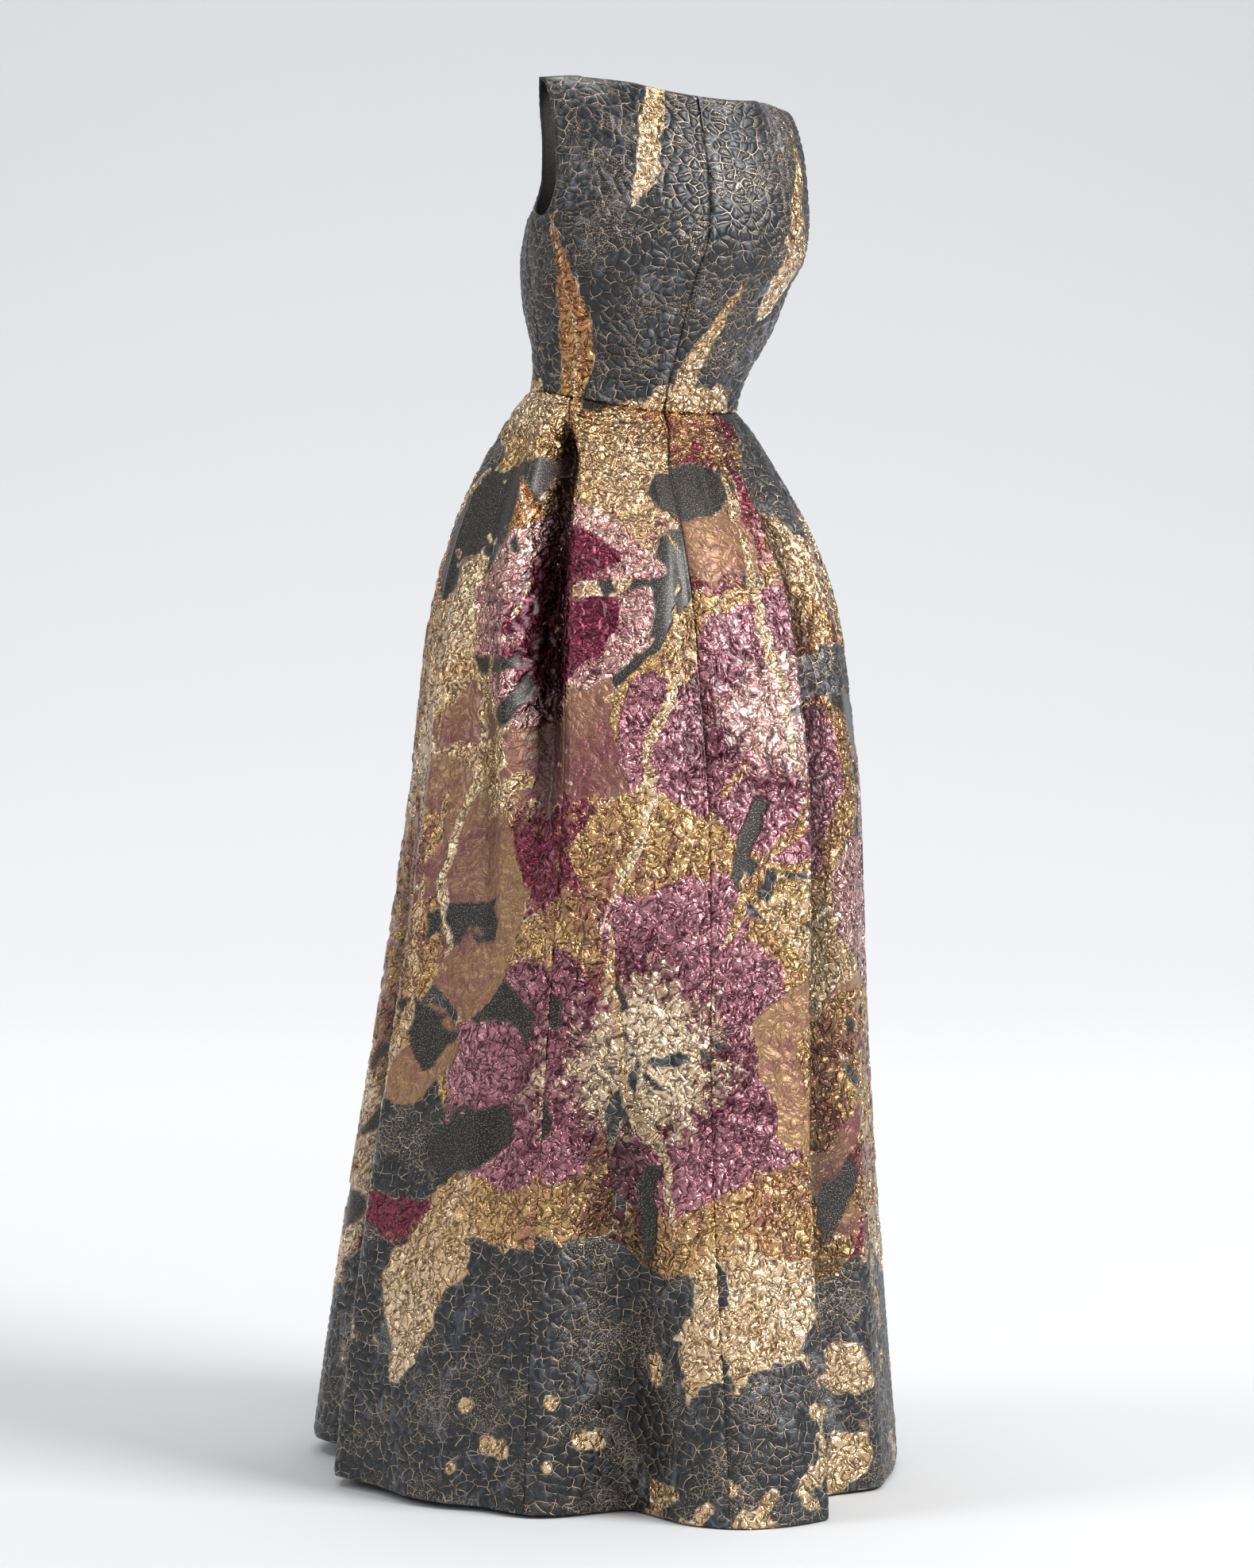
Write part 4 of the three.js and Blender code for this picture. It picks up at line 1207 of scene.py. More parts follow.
class Nodes:
    """A short way to add and join nodes in one tree."""

    def __init__(self, tree: bpy.types.NodeTree) -> None:
        """Keep the tree."""
        self.tree = tree

    def add(self, kind: str, **settings: object) -> bpy.types.Node:
        """Add a node.

        Args:
            kind: Its Blender type.
            settings: Its properties by name.

        Returns:
            The node.
        """
        node = self.tree.nodes.new(kind)
        for key, value in settings.items():
            setattr(node, key, value)
        return node

    def feed(self, socket: bpy.types.NodeSocket, value: object) -> None:
        """Join a socket to another one, or set its value.

        Args:
            socket: The input.
            value: A socket, a number or numbers.
        """
        if isinstance(value, bpy.types.NodeSocket):
            self.tree.links.new(value, socket)
        elif value is not None:
            socket.default_value = value

    def math(
        self, operation: str, *values: object, kind: str = "ShaderNodeMath"
    ) -> bpy.types.NodeSocket:
        """Return the result of a Math node on sockets or numbers."""
        node = self.add(kind, operation=operation)
        for socket, value in zip(node.inputs, values):
            self.feed(socket, value)
        return node.outputs[0]

    def vector(self, operation: str, *values: object) -> bpy.types.NodeSocket:
        """Return the result of a Vector Math node on sockets or vectors."""
        return self.math(operation, *values, kind="ShaderNodeVectorMath")

    def times(self, first: object, *more: object) -> bpy.types.NodeSocket:
        """Return the product of sockets or numbers."""
        for value in more:
            first = self.math("MULTIPLY", first, value)
        return first

    def plus(self, first: object, *more: object) -> bpy.types.NodeSocket:
        """Return the sum of sockets or numbers."""
        for value in more:
            first = self.math("ADD", first, value)
        return first

    def minus(self, first: object, second: object) -> bpy.types.NodeSocket:
        """Return the difference of sockets or numbers."""
        return self.math("SUBTRACT", first, second)

    def most(self, first: object, *more: object) -> bpy.types.NodeSocket:
        """Return the largest of sockets or numbers."""
        for value in more:
            first = self.math("MAXIMUM", first, value)
        return first

    def bump(self, shader: bpy.types.Node, height: bpy.types.NodeSocket) -> None:
        """Raise a shader's surface by a height in metres."""
        bump = self.add("ShaderNodeBump")
        for name, value in (("Height", height), ("Distance", 1.0), ("Strength", 1.0)):
            self.feed(bump.inputs[name], value)
        self.feed(shader.inputs["Normal"], bump.outputs[0])

    def scaled(self, value: object, factor: object) -> bpy.types.NodeSocket:
        """Return a vector times a number."""
        node = self.add("ShaderNodeVectorMath", operation="SCALE")
        self.feed(node.inputs[0], value)
        self.feed(node.inputs["Scale"], factor)
        return node.outputs[0]

    def ramp(
        self, value: object, low: float, high: float, to_low: float = 0.0, to_high: float = 1.0
    ) -> bpy.types.NodeSocket:
        """Map a range softly onto another.

        Args:
            value: The socket to map.
            low: Where the range starts.
            high: Where it ends.
            to_low: What its start becomes.
            to_high: What its end becomes.

        Returns:
            The mapped socket.
        """
        node = self.add("ShaderNodeMapRange", interpolation_type="SMOOTHSTEP")
        for name, number in zip(
            ("Value", "From Min", "From Max", "To Min", "To Max"), (value, low, high, to_low, to_high)
        ):
            self.feed(node.inputs[name], number)
        return node.outputs[0]

    def blend(self, share: object, a: object, b: object) -> bpy.types.NodeSocket:
        """Return the mix of two colours."""
        node = self.add("ShaderNodeMix", data_type="RGBA", clamp_factor=True)
        for index, value in ((0, share), (6, a), (7, b)):
            self.feed(node.inputs[index], value)
        return node.outputs[2]

    def noise(
        self, at: object, size: float, detail: float = 1.0, distortion: float = 0.0
    ) -> bpy.types.NodeSocket:
        """Return noise whose features are about as large as size, in metres."""
        node = self.add("ShaderNodeTexNoise", noise_dimensions="3D")
        settings = {"Scale": 1 / size, "Detail": detail, "Roughness": 0.5, "Distortion": distortion}
        self.feed(node.inputs["Vector"], at)
        for name, value in settings.items():
            self.feed(node.inputs[name], value)
        return node.outputs[0]


class Group:
    """A Geometry Nodes group with named number inputs."""

    def __init__(self, name: str, values: dict[str, float]) -> None:
        """Start the group.

        Args:
            name: Its name.
            values: Its inputs by name, with their values.
        """
        self.tree = bpy.data.node_groups.new(name, "GeometryNodeTree")
        sockets = self.tree.interface.new_socket
        sockets("Geometry", in_out="INPUT", socket_type="NodeSocketGeometry")
        self.inputs = {}
        for label, value in values.items():
            made = sockets(label, in_out="INPUT", socket_type="NodeSocketFloat")
            self.inputs[made.identifier] = value
        sockets("Geometry", in_out="OUTPUT", socket_type="NodeSocketGeometry")
        self.nodes = Nodes(self.tree)
        self.start = self.nodes.add("NodeGroupInput")
        self.end = self.nodes.add("NodeGroupOutput")

    def run(self, piece: bpy.types.Object) -> None:
        """Run the group on a piece, keep the result as its plain mesh, and remove the group."""
        modifier = piece.modifiers.new(self.tree.name, "NODES")
        modifier.node_group = self.tree
        for identifier, value in self.inputs.items():
            modifier[identifier] = value
        graph = bpy.context.evaluated_depsgraph_get()
        graph.update()
        made = bpy.data.meshes.new_from_object(piece.evaluated_get(graph), depsgraph=graph)
        old = piece.data
        piece.modifiers.clear()
        piece.data = made
        made.name = piece.name
        bpy.data.meshes.remove(old)
        bpy.data.node_groups.remove(self.tree)


def new_finish(name: str) -> tuple[bpy.types.Material, Nodes, bpy.types.Node]:
    """Start a material, and return it with its nodes and its shader."""
    material = bpy.data.materials.new(name)
    material.use_nodes = True
    return material, Nodes(material.node_tree), material.node_tree.nodes["Principled BSDF"]


def paint(code: str) -> tuple[float, ...]:
    """Return the opaque linear colour of a six-figure screen code."""
    return (*colour(code), 1.0)


@dataclass(frozen=True)
class Relief:
    """The cloth's raised texture, in metres. Mesh and material share its larger forms."""

    blister: float = 0.0115
    blister_height: float = 0.0013
    pucker: float = 0.019
    pucker_height: float = 0.0022
    crinkle: float = 0.0115
    crinkle_height: float = 0.0019

    def warped(self, nodes: Nodes, at: object, size: float, reach: float) -> bpy.types.NodeSocket:
        """Return coordinates pushed about by noise of a size, up to a reach."""
        node = nodes.add("ShaderNodeTexNoise", noise_dimensions="3D")
        nodes.feed(node.inputs["Vector"], at)
        nodes.feed(node.inputs["Scale"], 1 / size)
        nodes.feed(node.inputs["Detail"], 1.0)
        push = nodes.vector("SUBTRACT", node.outputs["Color"], (0.5, 0.5, 0.5))
        return nodes.vector("ADD", at, nodes.scaled(push, reach))

    def cells(self, nodes: Nodes, at: object, finer: float = 1.0) -> bpy.types.NodeSocket:
        """Return the distance to the nearest groove between blisters, in cells."""
        moved = nodes.vector("MULTIPLY", self.warped(nodes, at, 0.02, 0.014), (0.85, 1.1, 0.0))
        node = nodes.add("ShaderNodeTexVoronoi", feature="DISTANCE_TO_EDGE", voronoi_dimensions="2D")
        nodes.feed(node.inputs["Vector"], moved)
        nodes.feed(node.inputs["Scale"], finer / self.blister)
        return node.outputs["Distance"]

    def hills(self, nodes: Nodes, at: object, size: float) -> bpy.types.NodeSocket:
        """Return curling rounded ridges with narrow creases between, from 0 to 1."""
        moved = self.warped(nodes, at, 1.5 * size, 1.3 * size)
        worm = nodes.noise(moved, size, 1.0, 0.6)
        off = nodes.math("ABSOLUTE", nodes.minus(worm, 0.5))
        return nodes.ramp(off, 0.0, 0.14)

    def height(self, nodes: Nodes, at: object, foil: object, blister: object) -> bpy.types.NodeSocket:
        """Return the mesh's height where the cloth is foil and blister by these shares."""
        pillow = nodes.times(nodes.ramp(self.cells(nodes, at), 0.0, 0.3), self.blister_height)
        lump = nodes.times(self.hills(nodes, at, self.pucker), self.pucker_height)
        first = nodes.times(pillow, blister)
        return nodes.plus(first, nodes.times(lump, foil))

    def raise_on(self, piece: bpy.types.Object) -> None:
        """Lift the piece's outer points by the relief, and keep the result as its mesh.

        Args:
            piece: The panel, with its cloth, make and relief attributes.
        """
        group = Group("blistered relief", {"Amount": 1.0})
        nodes, start, end = group.nodes, group.start, group.end

        def read(name: str, kind: str) -> bpy.types.NodeSocket:
            """Return a named attribute's socket."""
            node = nodes.add("GeometryNodeInputNamedAttribute", data_type=kind)
            node.inputs["Name"].default_value = name
            return next(s for s in node.outputs if s.enabled)

        at = read("cloth", "FLOAT_VECTOR")
        parts = nodes.add("FunctionNodeSeparateColor")
        nodes.feed(parts.inputs[0], read("make", "FLOAT_COLOR"))
        height = self.height(nodes, at, parts.outputs[0], parts.outputs[1])
        weight = nodes.times(read("relief", "FLOAT"), start.outputs["Amount"])
        lift = nodes.times(height, weight)
        offset = nodes.scaled(nodes.add("GeometryNodeInputNormal").outputs[0], lift)
        move = nodes.add("GeometryNodeSetPosition")
        nodes.feed(move.inputs["Geometry"], start.outputs["Geometry"])
        nodes.feed(move.inputs["Offset"], offset)
        nodes.feed(end.inputs["Geometry"], move.outputs["Geometry"])
        group.run(piece)


@dataclass(frozen=True)
class Cloth:
    """The woven cloth: foil crinkles, satin blisters and flat satin, with gold threads."""

    relief: Relief = Relief()
    fine: float = 0.0024
    # Sizes of the noise that sets the blisters' ripples and their painted sheen, and of the painted sheen's
    # bands.
    sheen_and_ripple: float = 0.016
    sheen_bands: float = 0.06
    grain: float = 0.0016
    speck: float = 0.0013
    fine_height: float = 0.0006
    grain_height: float = 0.00026
    thread_height: float = 0.0004
    pillow_height: float = 0.0009
    lump_height: float = 0.0008
    silk_height: float = 0.0032

    def face(self) -> bpy.types.Material:
        """Return the finish of the right side."""
        material, nodes, shader = new_finish("blistered cloth, right side")

        def read(name: str) -> bpy.types.Node:
            """Return an Attribute node."""
            return nodes.add("ShaderNodeAttribute", attribute_name=name)

        at = read("cloth").outputs["Vector"]
        parts = nodes.add("ShaderNodeSeparateColor")
        nodes.feed(parts.inputs[0], read("make").outputs["Color"])
        foil, blister, satin = parts.outputs[0], parts.outputs[1], parts.outputs[2]
        tint, crease_shade = read("tint").outputs["Color"], read("crease_shade").outputs["Color"]
        edge = read("edge").outputs["Fac"]
        relief = self.relief
        cells, small_cells = relief.cells(nodes, at), relief.cells(nodes, at, 2.1)
        crinkle = relief.hills(nodes, at, relief.crinkle)
        lump = relief.hills(nodes, at, relief.pucker)
        fine = nodes.noise(relief.warped(nodes, at, 0.004, 0.004), self.fine, 1.0, 0.9)
        flowing = nodes.vector("MULTIPLY", relief.warped(nodes, at, 0.03, 0.03), (1.0, 0.45, 1.0))
        sheen_and_ripple = nodes.noise(flowing, self.sheen_and_ripple, 2.0, 1.4)
        sheen_bands = nodes.noise(nodes.vector("MULTIPLY", at, (1.0, 0.3, 1.0)), self.sheen_bands, 2.0)
        grain = nodes.noise(nodes.vector("MULTIPLY", at, (1.0, 2.4, 1.0)), self.grain, 1.0)

        lumpy = nodes.times(crinkle, nodes.ramp(lump, 0.0, 0.35, 0.6, 1.0))
        high = nodes.plus(lumpy, nodes.times(nodes.minus(fine, 0.5), 0.25))
        plain = nodes.minus(1.0, foil)
        # Painted shade: the foil's crinkle creases take the crease shade colour, and its ridges take the
        # tint.
        shown = nodes.blend(nodes.most(nodes.ramp(high, -0.1, 0.24), plain), crease_shade, tint)
        # Painted sheen: blue-grey satin highlights painted in flowing bands over the blisters.
        sheen_colour = paint("6c727b")
        painted_sheen = nodes.times(nodes.ramp(sheen_and_ripple, 0.46, 0.72), nodes.ramp(sheen_bands, 0.42, 0.62, 0.1, 0.75))
        shown = nodes.blend(nodes.times(painted_sheen, blister), shown, sheen_colour)
        smooth_share = nodes.minus(plain, blister)
        flat = nodes.times(smooth_share, nodes.ramp(grain, 0.35, 0.65, 0.45, -0.35))
        base = nodes.scaled(shown, nodes.minus(1.0, flat))

        thread = nodes.ramp(cells, 0.012, 0.035, 1.0, 0.0)
        broken = nodes.ramp(nodes.noise(at, 0.012, 2.0), 0.42, 0.56)
        lace = nodes.ramp(small_cells, 0.02, 0.06, 0.5, 0.0)
        lace = nodes.times(lace, nodes.ramp(nodes.noise(at, 0.05, 3.0), 0.55, 0.65))
        thread = nodes.times(nodes.most(nodes.times(thread, broken), lace), blister)
        speck = nodes.ramp(nodes.noise(at, self.speck, 0.0), 0.62, 0.74)
        dusty = nodes.times(nodes.ramp(nodes.noise(at, 0.07, 3.0), 0.45, 0.65), blister)
        sparse = nodes.times(nodes.minus(plain, blister), 0.45)
        speck = nodes.times(speck, nodes.most(sparse, dusty))
        frayed = nodes.ramp(nodes.noise(at, 0.03, 2.0), 0.42, 0.52)
        cord = nodes.times(nodes.ramp(edge, 0.35, 1.0, 1.0, 0.0), frayed)
        golden = nodes.most(thread, cord, speck)
        gold = paint(Yarn.PALE_GOLD.value)
        nodes.feed(shader.inputs["Base Color"], nodes.blend(nodes.times(golden, 0.85), base, gold))
        metal = nodes.plus(nodes.times(foil, 1.2), nodes.times(blister, 0.3), nodes.times(satin, 0.2))
        metal = nodes.most(metal, golden)
        nodes.feed(shader.inputs["Metallic"], nodes.math("MINIMUM", metal, 1.0))
        nodes.feed(shader.inputs["Coat Weight"], 0.3)
        nodes.feed(shader.inputs["Coat Roughness"], 0.22)
        rough = nodes.plus(nodes.times(foil, -0.21), 0.42)
        nodes.feed(shader.inputs["Roughness"], nodes.plus(rough, nodes.times(grain, 0.08)))

        total = nodes.plus(
            nodes.times(crinkle, foil, relief.crinkle_height),
            nodes.times(fine, foil, self.fine_height),
            nodes.times(grain, self.grain_height),
            nodes.times(nodes.most(cord, thread), self.thread_height),
            nodes.times(nodes.ramp(cells, 0.0, 0.25), blister, self.pillow_height),
            nodes.times(lump, foil, self.lump_height),
            nodes.times(sheen_and_ripple, blister, self.silk_height),
        )
        nodes.bump(shader, total)
        return material

    def reverse(self) -> bpy.types.Material:
        """Return the finish of the wrong side: matt floats of dull gold on charcoal."""
        material, nodes, shader = new_finish("blistered cloth, wrong side")
        at = nodes.add("ShaderNodeTexCoord").outputs["Object"]
        streak = nodes.noise(nodes.vector("MULTIPLY", at, (1.0, 1.0, 4.0)), 0.004, 2.0)
        dark, dull = paint("26262a"), paint("4a4038")
        nodes.feed(shader.inputs["Base Color"], nodes.blend(nodes.ramp(streak, 0.4, 0.65), dark, dull))
        nodes.feed(shader.inputs["Roughness"], 0.75)
        nodes.bump(shader, nodes.times(streak, 0.0006))
        return material

    def dress(self, piece: bpy.types.Object) -> None:
        """Give a panel's piece its relief and its two faces."""
        sides = (
            ("blistered cloth, right side", self.face),
            ("blistered cloth, wrong side", self.reverse),
        )
        for name, make in sides:
            piece.data.materials.append(bpy.data.materials.get(name) or make())
        self.relief.raise_on(piece)


class Gown:
    """The gown's cloth: its skirt and its upper body."""

    def __init__(self, cloth: Cloth) -> None:
        """Keep the cloth."""
        self.cloth = cloth

    def build(self) -> list[bpy.types.Object]:
        """Make every panel and join it to the frame.

        Returns:
            The finished pieces.
        """
        made = []
        for number, panel in enumerate((*SKIRT_PANELS, *BODICE_PANELS)):
            piece = panel.build(number, self.cloth)
            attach(piece, "gown")
            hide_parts(panel.name)
            flat = panel.flatten(panel.form())
            LOG.info("%s: %d faces", piece.name, len(piece.data.polygons))
            made.append(piece)
        return made


@dataclass
class Zip:
    """The zip's two woven tapes, its coil, and the rolled edge that shows at its top."""

    end: float = 0.062
    width: float = 12.0
    angle: float = 7.0
    clear: float = 2.75
    thickness: float = 0.7
    rolled: float = 33.0
    roll: float = 0.9
    pitch: float = 1.4
    tooth: float = 0.45
    coil_width: float = 4.2
    rows: int = 220

    def line(self, side: int, share: Array, way: Array) -> Array:
        """Place points of the cloth's face beside the centre seam.

        Args:
            side: 1 on the wearer's left and -1 on the right.
            share: Shares of the tape's width, from the seam.
            way: Shares of its length, from the neck.

        Returns:
            Points in millimetres.
        """
        bodice = -WAIST_HEIGHT + BACK_NECK_HEIGHT
        total = bodice + self.end * SKIRT_LENGTH
        up = 1.0 - np.clip(way * total / bodice, 0.004, 1.0)
        half = HalfPanel(Face.BACK, side)
        near = np.full_like(up, 0.05)
        reach = self.width * 0.05 / np.linalg.norm(half.point(near, up) - half.point(0 * near, up), axis=-1)
        upper = half.point(share * reach, up)
        down = np.clip((way * total - bodice) / SKIRT_LENGTH, 0.0, self.end)
        lower = skirt_point(CENTRE_BACK.at(down) + side * share * self.angle, down)
        return np.where((way * total < bodice)[..., None], upper, lower)

    def tape(self, name: str, side: int) -> bpy.types.Object:
        """Make one tape as a thin woven strip inside the cloth.

        Args:
            name: The solid that it stands for.
            side: 1 on the wearer's left and -1 on the right.

        Returns:
            The finished piece.
        """
        share, way = np.meshgrid(np.linspace(0.02, 1, 9), np.linspace(0, 1, self.rows + 1), indexing="ij")
        points = self.line(side, share, way)
        along = np.gradient(points, axis=1)
        across = np.gradient(points, axis=0)
        normal = np.cross(across, along)
        normal /= np.linalg.norm(normal, axis=-1, keepdims=True)
        normal = np.where(normal[..., 1:2] < 0, -normal, normal)
        shells = [closed_wall(points - normal * self.clear, normal, self.thickness)]
        if side < 0:
            shells.append(self.edge_roll())
        piece = plain_piece(name + "_cloth", shells)
        piece.data.materials.append(self.woven())
        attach(piece, "gown")
        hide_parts(name)
        return piece

    def edge_roll(self) -> Shell:
        """Return the rolled edge of the tape that shows beside the top of the seam."""
        way = np.linspace(0.004, self.rolled / (BACK_NECK_HEIGHT - WAIST_HEIGHT), 40)
        centre = self.line(-1, np.full_like(way, 0.06), way)
        turn = np.linspace(0, 2 * math.pi, 13)[:-1]
        slim = self.roll * (1 - smooth(0.75, 1.0, np.linspace(0, 1, way.size)) * 0.6)
        ring = np.stack([np.cos(turn), np.sin(turn), 0 * turn], -1)
        return tube(centre[:, None, :] + np.array([0.0, 0.4, 0.0]) + ring[None] * slim[:, None, None])

    def coil(self) -> bpy.types.Object:
        """Make the coil: a row of small turns that Geometry Nodes set along the seam."""
        way = np.linspace(0.02, 0.985, 160)
        points = self.line(1, np.zeros_like(way), way)
        points[:, 1] -= self.clear + self.thickness + 0.7
        data = bpy.data.meshes.new("coil line")
        verts = ((points + TO_SHOULDERS) * MM).tolist()
        data.from_pydata(verts, [(k, k + 1) for k in range(len(verts) - 1)], [])
        piece = bpy.data.objects.new("zip_coil", data)
        bpy.context.scene.collection.objects.link(piece)
        sizes = {"Pitch": self.pitch, "Thickness": self.tooth, "Width": self.coil_width}
        group = Group("zip coil", {label: size * MM for label, size in sizes.items()})
        nodes, start, end = group.nodes, group.start, group.end
        curve = nodes.add("GeometryNodeMeshToCurve")
        nodes.feed(curve.inputs["Mesh"], start.outputs["Geometry"])
        even = nodes.add("GeometryNodeResampleCurve", mode="LENGTH")
        nodes.feed(even.inputs["Curve"], curve.outputs["Curve"])
        nodes.feed(even.inputs["Length"], start.outputs["Pitch"])
        tooth = nodes.add("GeometryNodeMeshCylinder")
        tooth.inputs["Vertices"].default_value = 8
        nodes.feed(tooth.inputs["Radius"], start.outputs["Thickness"])
        nodes.feed(tooth.inputs["Depth"], start.outputs["Width"])
        laid = nodes.add("GeometryNodeInstanceOnPoints")
        nodes.feed(laid.inputs["Points"], even.outputs["Curve"])
        nodes.feed(laid.inputs["Instance"], tooth.outputs["Mesh"])
        laid.inputs["Rotation"].default_value = (0.0, math.pi / 2, 0.12)
        real = nodes.add("GeometryNodeRealizeInstances")
        nodes.feed(real.inputs[0], laid.outputs[0])
        finish = nodes.add("GeometryNodeSetMaterial")
        finish.inputs["Material"].default_value = self.nylon()
        nodes.feed(finish.inputs["Geometry"], real.outputs[0])
        nodes.feed(end.inputs["Geometry"], finish.outputs["Geometry"])
        group.run(piece)
        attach(piece, "gown")
        return piece

    def woven(self) -> bpy.types.Material:
        """Return the tapes' grey-lavender twill."""
        found = bpy.data.materials.get("zip twill")
        if found:
            return found
        material, nodes, shader = new_finish("zip twill")
        at = nodes.add("ShaderNodeTexCoord").outputs["Object"]
        twill = nodes.add("ShaderNodeTexWave", bands_direction="DIAGONAL")
        nodes.feed(twill.inputs["Vector"], at)
        nodes.feed(twill.inputs["Scale"], 420.0)
        nodes.feed(twill.inputs["Distortion"], 0.4)
        low, high = paint("54525f"), paint("8f8d9d")
        nodes.feed(shader.inputs["Base Color"], nodes.blend(twill.outputs["Fac"], low, high))
        nodes.feed(shader.inputs["Roughness"], 0.6)
        nodes.bump(shader, nodes.times(twill.outputs["Fac"], 0.0001))
        return material

    def nylon(self) -> bpy.types.Material:
        """Return the coil's dark nylon."""
        material, nodes, shader = new_finish("zip nylon")
        cloud = nodes.noise(nodes.add("ShaderNodeTexCoord").outputs["Object"], 0.004, 1.0)
        low, high = paint("2d2c33"), paint("4a4954")
        nodes.feed(shader.inputs["Base Color"], nodes.blend(cloud, low, high))
        nodes.feed(shader.inputs["Roughness"], 0.35)
        return material

    def build(self) -> list[bpy.types.Object]:
        """Make the two tapes and the coil."""
        made = [self.tape("zip_tape_left", 1), self.tape("zip_tape_right", -1), self.coil()]
        for piece in made:
            LOG.info("%s: %d faces", piece.name, len(piece.data.polygons))
        return made


def tube(points: Array) -> Shell:
    """Close a tube through rings of points, in millimetres."""
    n, m = points.shape[:2]
    index = np.arange(n * m).reshape(n, m)
    faces = []
    for k in range(n - 1):
        for j in range(m):
            i = (j + 1) % m
            faces.append([int(index[k, j]), int(index[k, i]), int(index[k + 1, i]), int(index[k + 1, j])])
    faces = [face[::-1] for face in faces]
    faces += [index[0].tolist(), index[-1][::-1].tolist()]
    return points.reshape(-1, 3), faces


@dataclass(frozen=True)
class Metal:
    """The dark lacquered metal of the slider and its pull tab."""

    def dress(self, node: str) -> None:
        """Give a solid of the frame this finish."""
        material, nodes, shader = new_finish("lacquered zip metal")
        at = nodes.add("ShaderNodeTexCoord").outputs["Object"]
        wear = nodes.noise(at, 0.0015, 2.0)
        low, high = paint("4a4852"), paint("7d7a88")
        nodes.feed(shader.inputs["Base Color"], nodes.blend(nodes.ramp(wear, 0.4, 0.7), low, high))
        nodes.feed(shader.inputs["Metallic"], 0.45)
        nodes.feed(shader.inputs["Roughness"], nodes.ramp(wear, 0.3, 0.7, 0.42, 0.55))
        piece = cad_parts[node]
        piece.data.materials.clear()
        piece.data.materials.append(material)


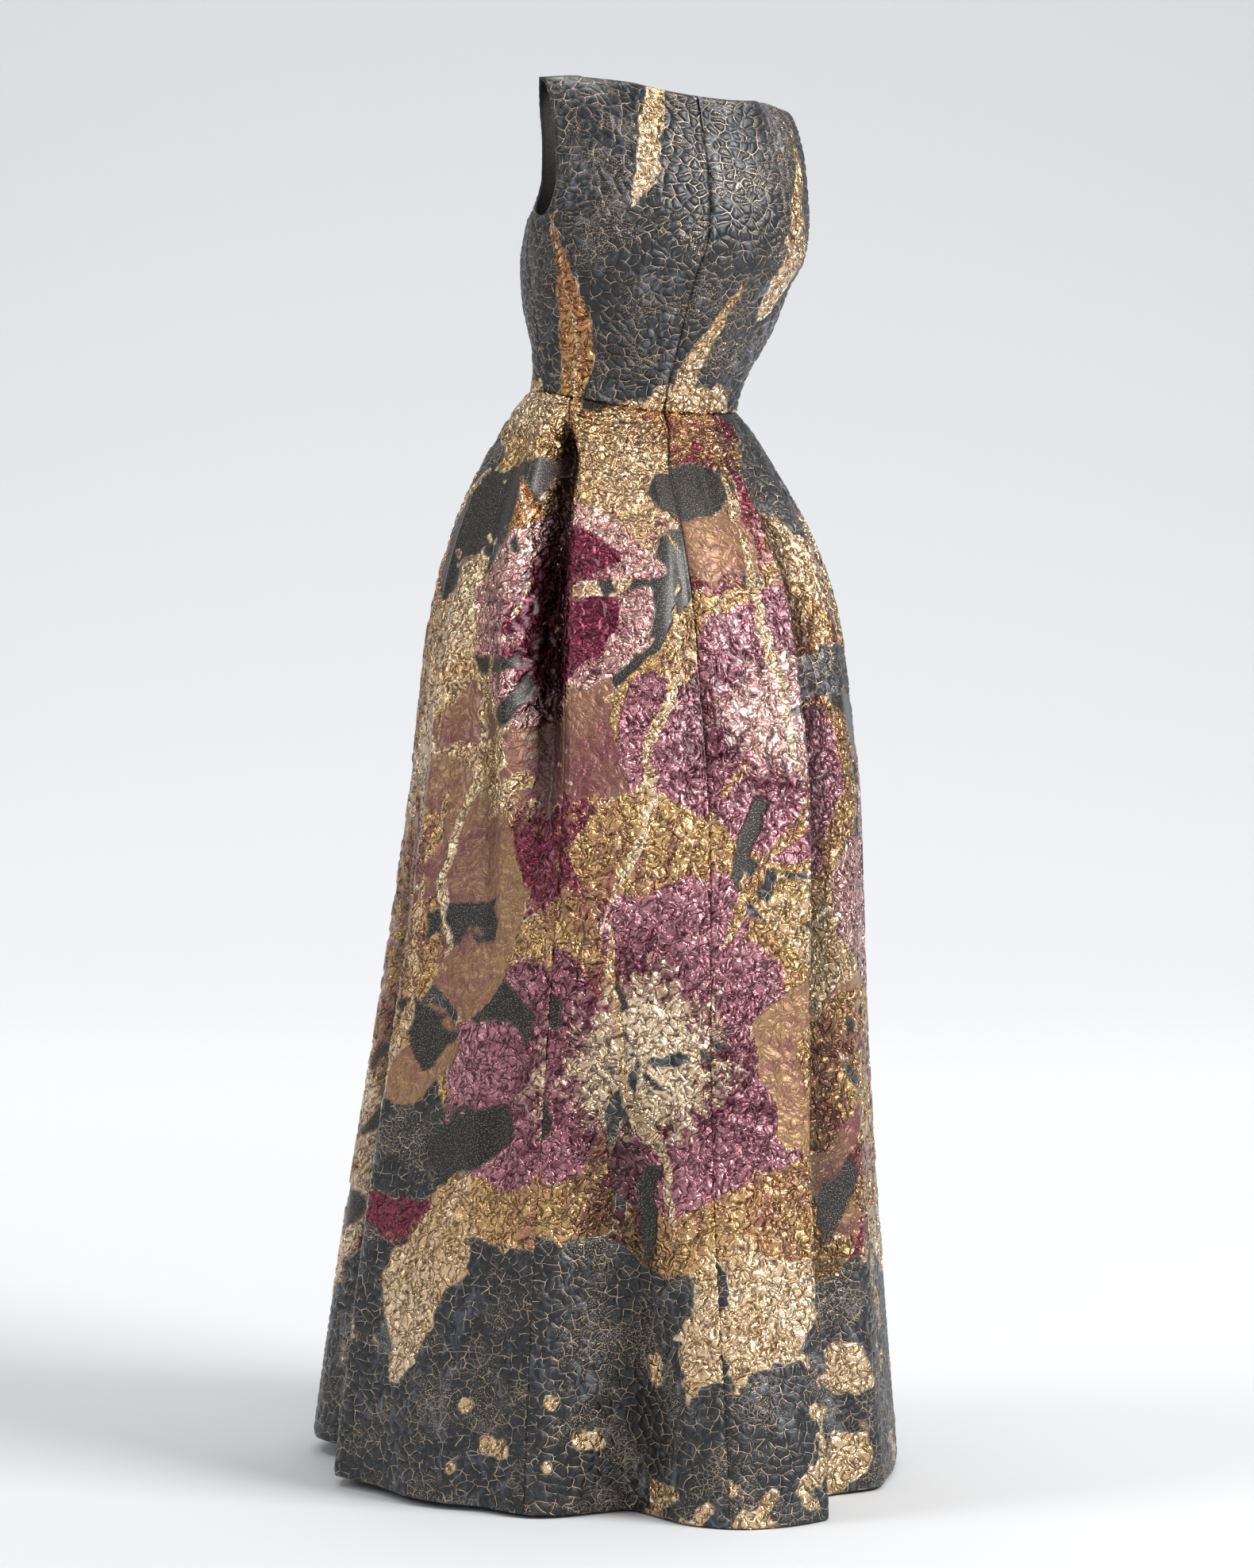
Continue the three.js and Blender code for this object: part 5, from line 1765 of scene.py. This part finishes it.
@dataclass
class Studio:
    """The floor, the lights and the camera at the photograph's angle."""

    hem: float = -1.5515
    camera: tuple[float, float, float] = (2.379, 5.266, -0.404)
    azimuth: float = 156.0
    aim_azimuth: float = 156.06
    tilt: float = 3.776
    lens: float = 115.85
    sweep_start: float = 4.5
    sweep: float = 6.0
    sweep_steps: int = 24

    def floor(self) -> None:
        """Make the pale floor that sweeps up behind the gown."""
        profile = [(-9.0, 0.0), (self.sweep_start, 0.0)]
        for k in range(1, self.sweep_steps + 1):
            turn = k / self.sweep_steps * math.pi / 2
            out, up = math.sin(turn), 1.0 - math.cos(turn)
            profile.append((self.sweep_start + self.sweep * out, self.sweep * up))
        profile.append((self.sweep_start + self.sweep, 9.0))
        a = math.radians(self.azimuth)
        back = Vector((-math.sin(a), math.cos(a), 0.0))
        side = Vector((back.y, -back.x, 0.0))
        verts, faces = [], []
        for along, up in profile:
            for reach in (-14.0, 14.0):
                point = back * along + side * reach
                verts.append((point.x, point.y, self.hem + up))
        for k in range(len(profile) - 1):
            faces.append((2 * k, 2 * k + 1, 2 * k + 3, 2 * k + 2))
        data = bpy.data.meshes.new("floor")
        data.from_pydata(verts, [], faces)
        data.polygons.foreach_set("use_smooth", [True] * len(faces))
        material, _, shader = new_finish("pale paper")
        shader.inputs["Base Color"].default_value = (0.72, 0.73, 0.74, 1.0)
        shader.inputs["Roughness"].default_value = 0.9
        data.materials.append(material)
        piece = bpy.data.objects.new("floor", data)
        bpy.context.scene.collection.objects.link(piece)

    def light(
        self,
        name: str,
        at: tuple[float, float, float],
        size: float,
        power: float,
        aim: tuple[float, float, float] = (0.0, 0.0, 0.7),
    ) -> None:
        """Hang a soft square light.

        Args:
            name: Its name.
            at: Metres to the camera's right, towards the camera, and above the hem.
            size: Its side in metres.
            power: Its power in watts.
            aim: Where it faces, measured as its place is.
        """
        a = math.radians(self.azimuth)
        to_camera = Vector((math.sin(a), -math.cos(a), 0.0))
        right = Vector((-to_camera.y, to_camera.x, 0.0))
        data = bpy.data.lights.new(name, "AREA")
        data.size, data.energy = size, power
        lamp = bpy.data.objects.new(name, data)
        lamp.location = right * at[0] + to_camera * at[1] + Vector((0, 0, self.hem + at[2]))
        target = right * aim[0] + to_camera * aim[1] + Vector((0, 0, self.hem + aim[2]))
        lamp.rotation_euler = (target - lamp.location).to_track_quat("-Z", "Y").to_euler()
        bpy.context.scene.collection.objects.link(lamp)

    def build(self) -> None:
        """Set up the floor, the lights, the sky and the camera."""
        self.floor()
        self.light("key", (3.8, 2.1, 3.8), 2.4, 290)
        self.light("fill", (-4.0, 1.4, 2.6), 1.6, 38)
        self.light("front", (0.8, 6.2, 2.4), 2.0, 50)
        self.light("top", (0.2, -0.8, 4.2), 2.0, 52)
        self.light("left wash", (-2.8, -3.0, 4.6), 2.4, 185, (-1.8, -9.0, 0.8))
        self.light("right wash", (2.8, -3.0, 4.6), 2.4, 165, (1.8, -9.0, 0.8))
        self.light("floor wash", (-2.3, 0.4, 4.6), 1.2, 45, (-2.0, 0.0, 0.0))
        world = bpy.data.worlds.new("studio")
        world.use_nodes = True
        sky = world.node_tree.nodes["Background"]
        sky.inputs["Color"].default_value = (0.93, 0.95, 1.0, 1.0)
        sky.inputs["Strength"].default_value = 0.24
        bpy.context.scene.world = world
        data = bpy.data.cameras.new("camera")
        data.lens = self.lens
        camera = bpy.data.objects.new("camera", data)
        camera.location = self.camera
        a, t = math.radians(self.aim_azimuth), math.radians(self.tilt)
        aim = Vector((-math.sin(a) * math.cos(t), math.cos(a) * math.cos(t), -math.sin(t)))
        camera.rotation_euler = aim.to_track_quat("-Z", "Y").to_euler()
        bpy.context.scene.collection.objects.link(camera)
        bpy.context.scene.camera = camera
        bpy.context.scene.view_settings.view_transform = "Standard"


def main() -> None:
    """Build the studio and the gown, and report each piece."""
    logging.basicConfig(level=logging.INFO, format="%(name)s: %(message)s")
    Studio().build()
    Gown(Cloth()).build()
    Zip().build()
    for node in ("zip_slider", "zip_pull_tab"):
        Metal().dress(node)


if __name__ == "__main__":
    main()
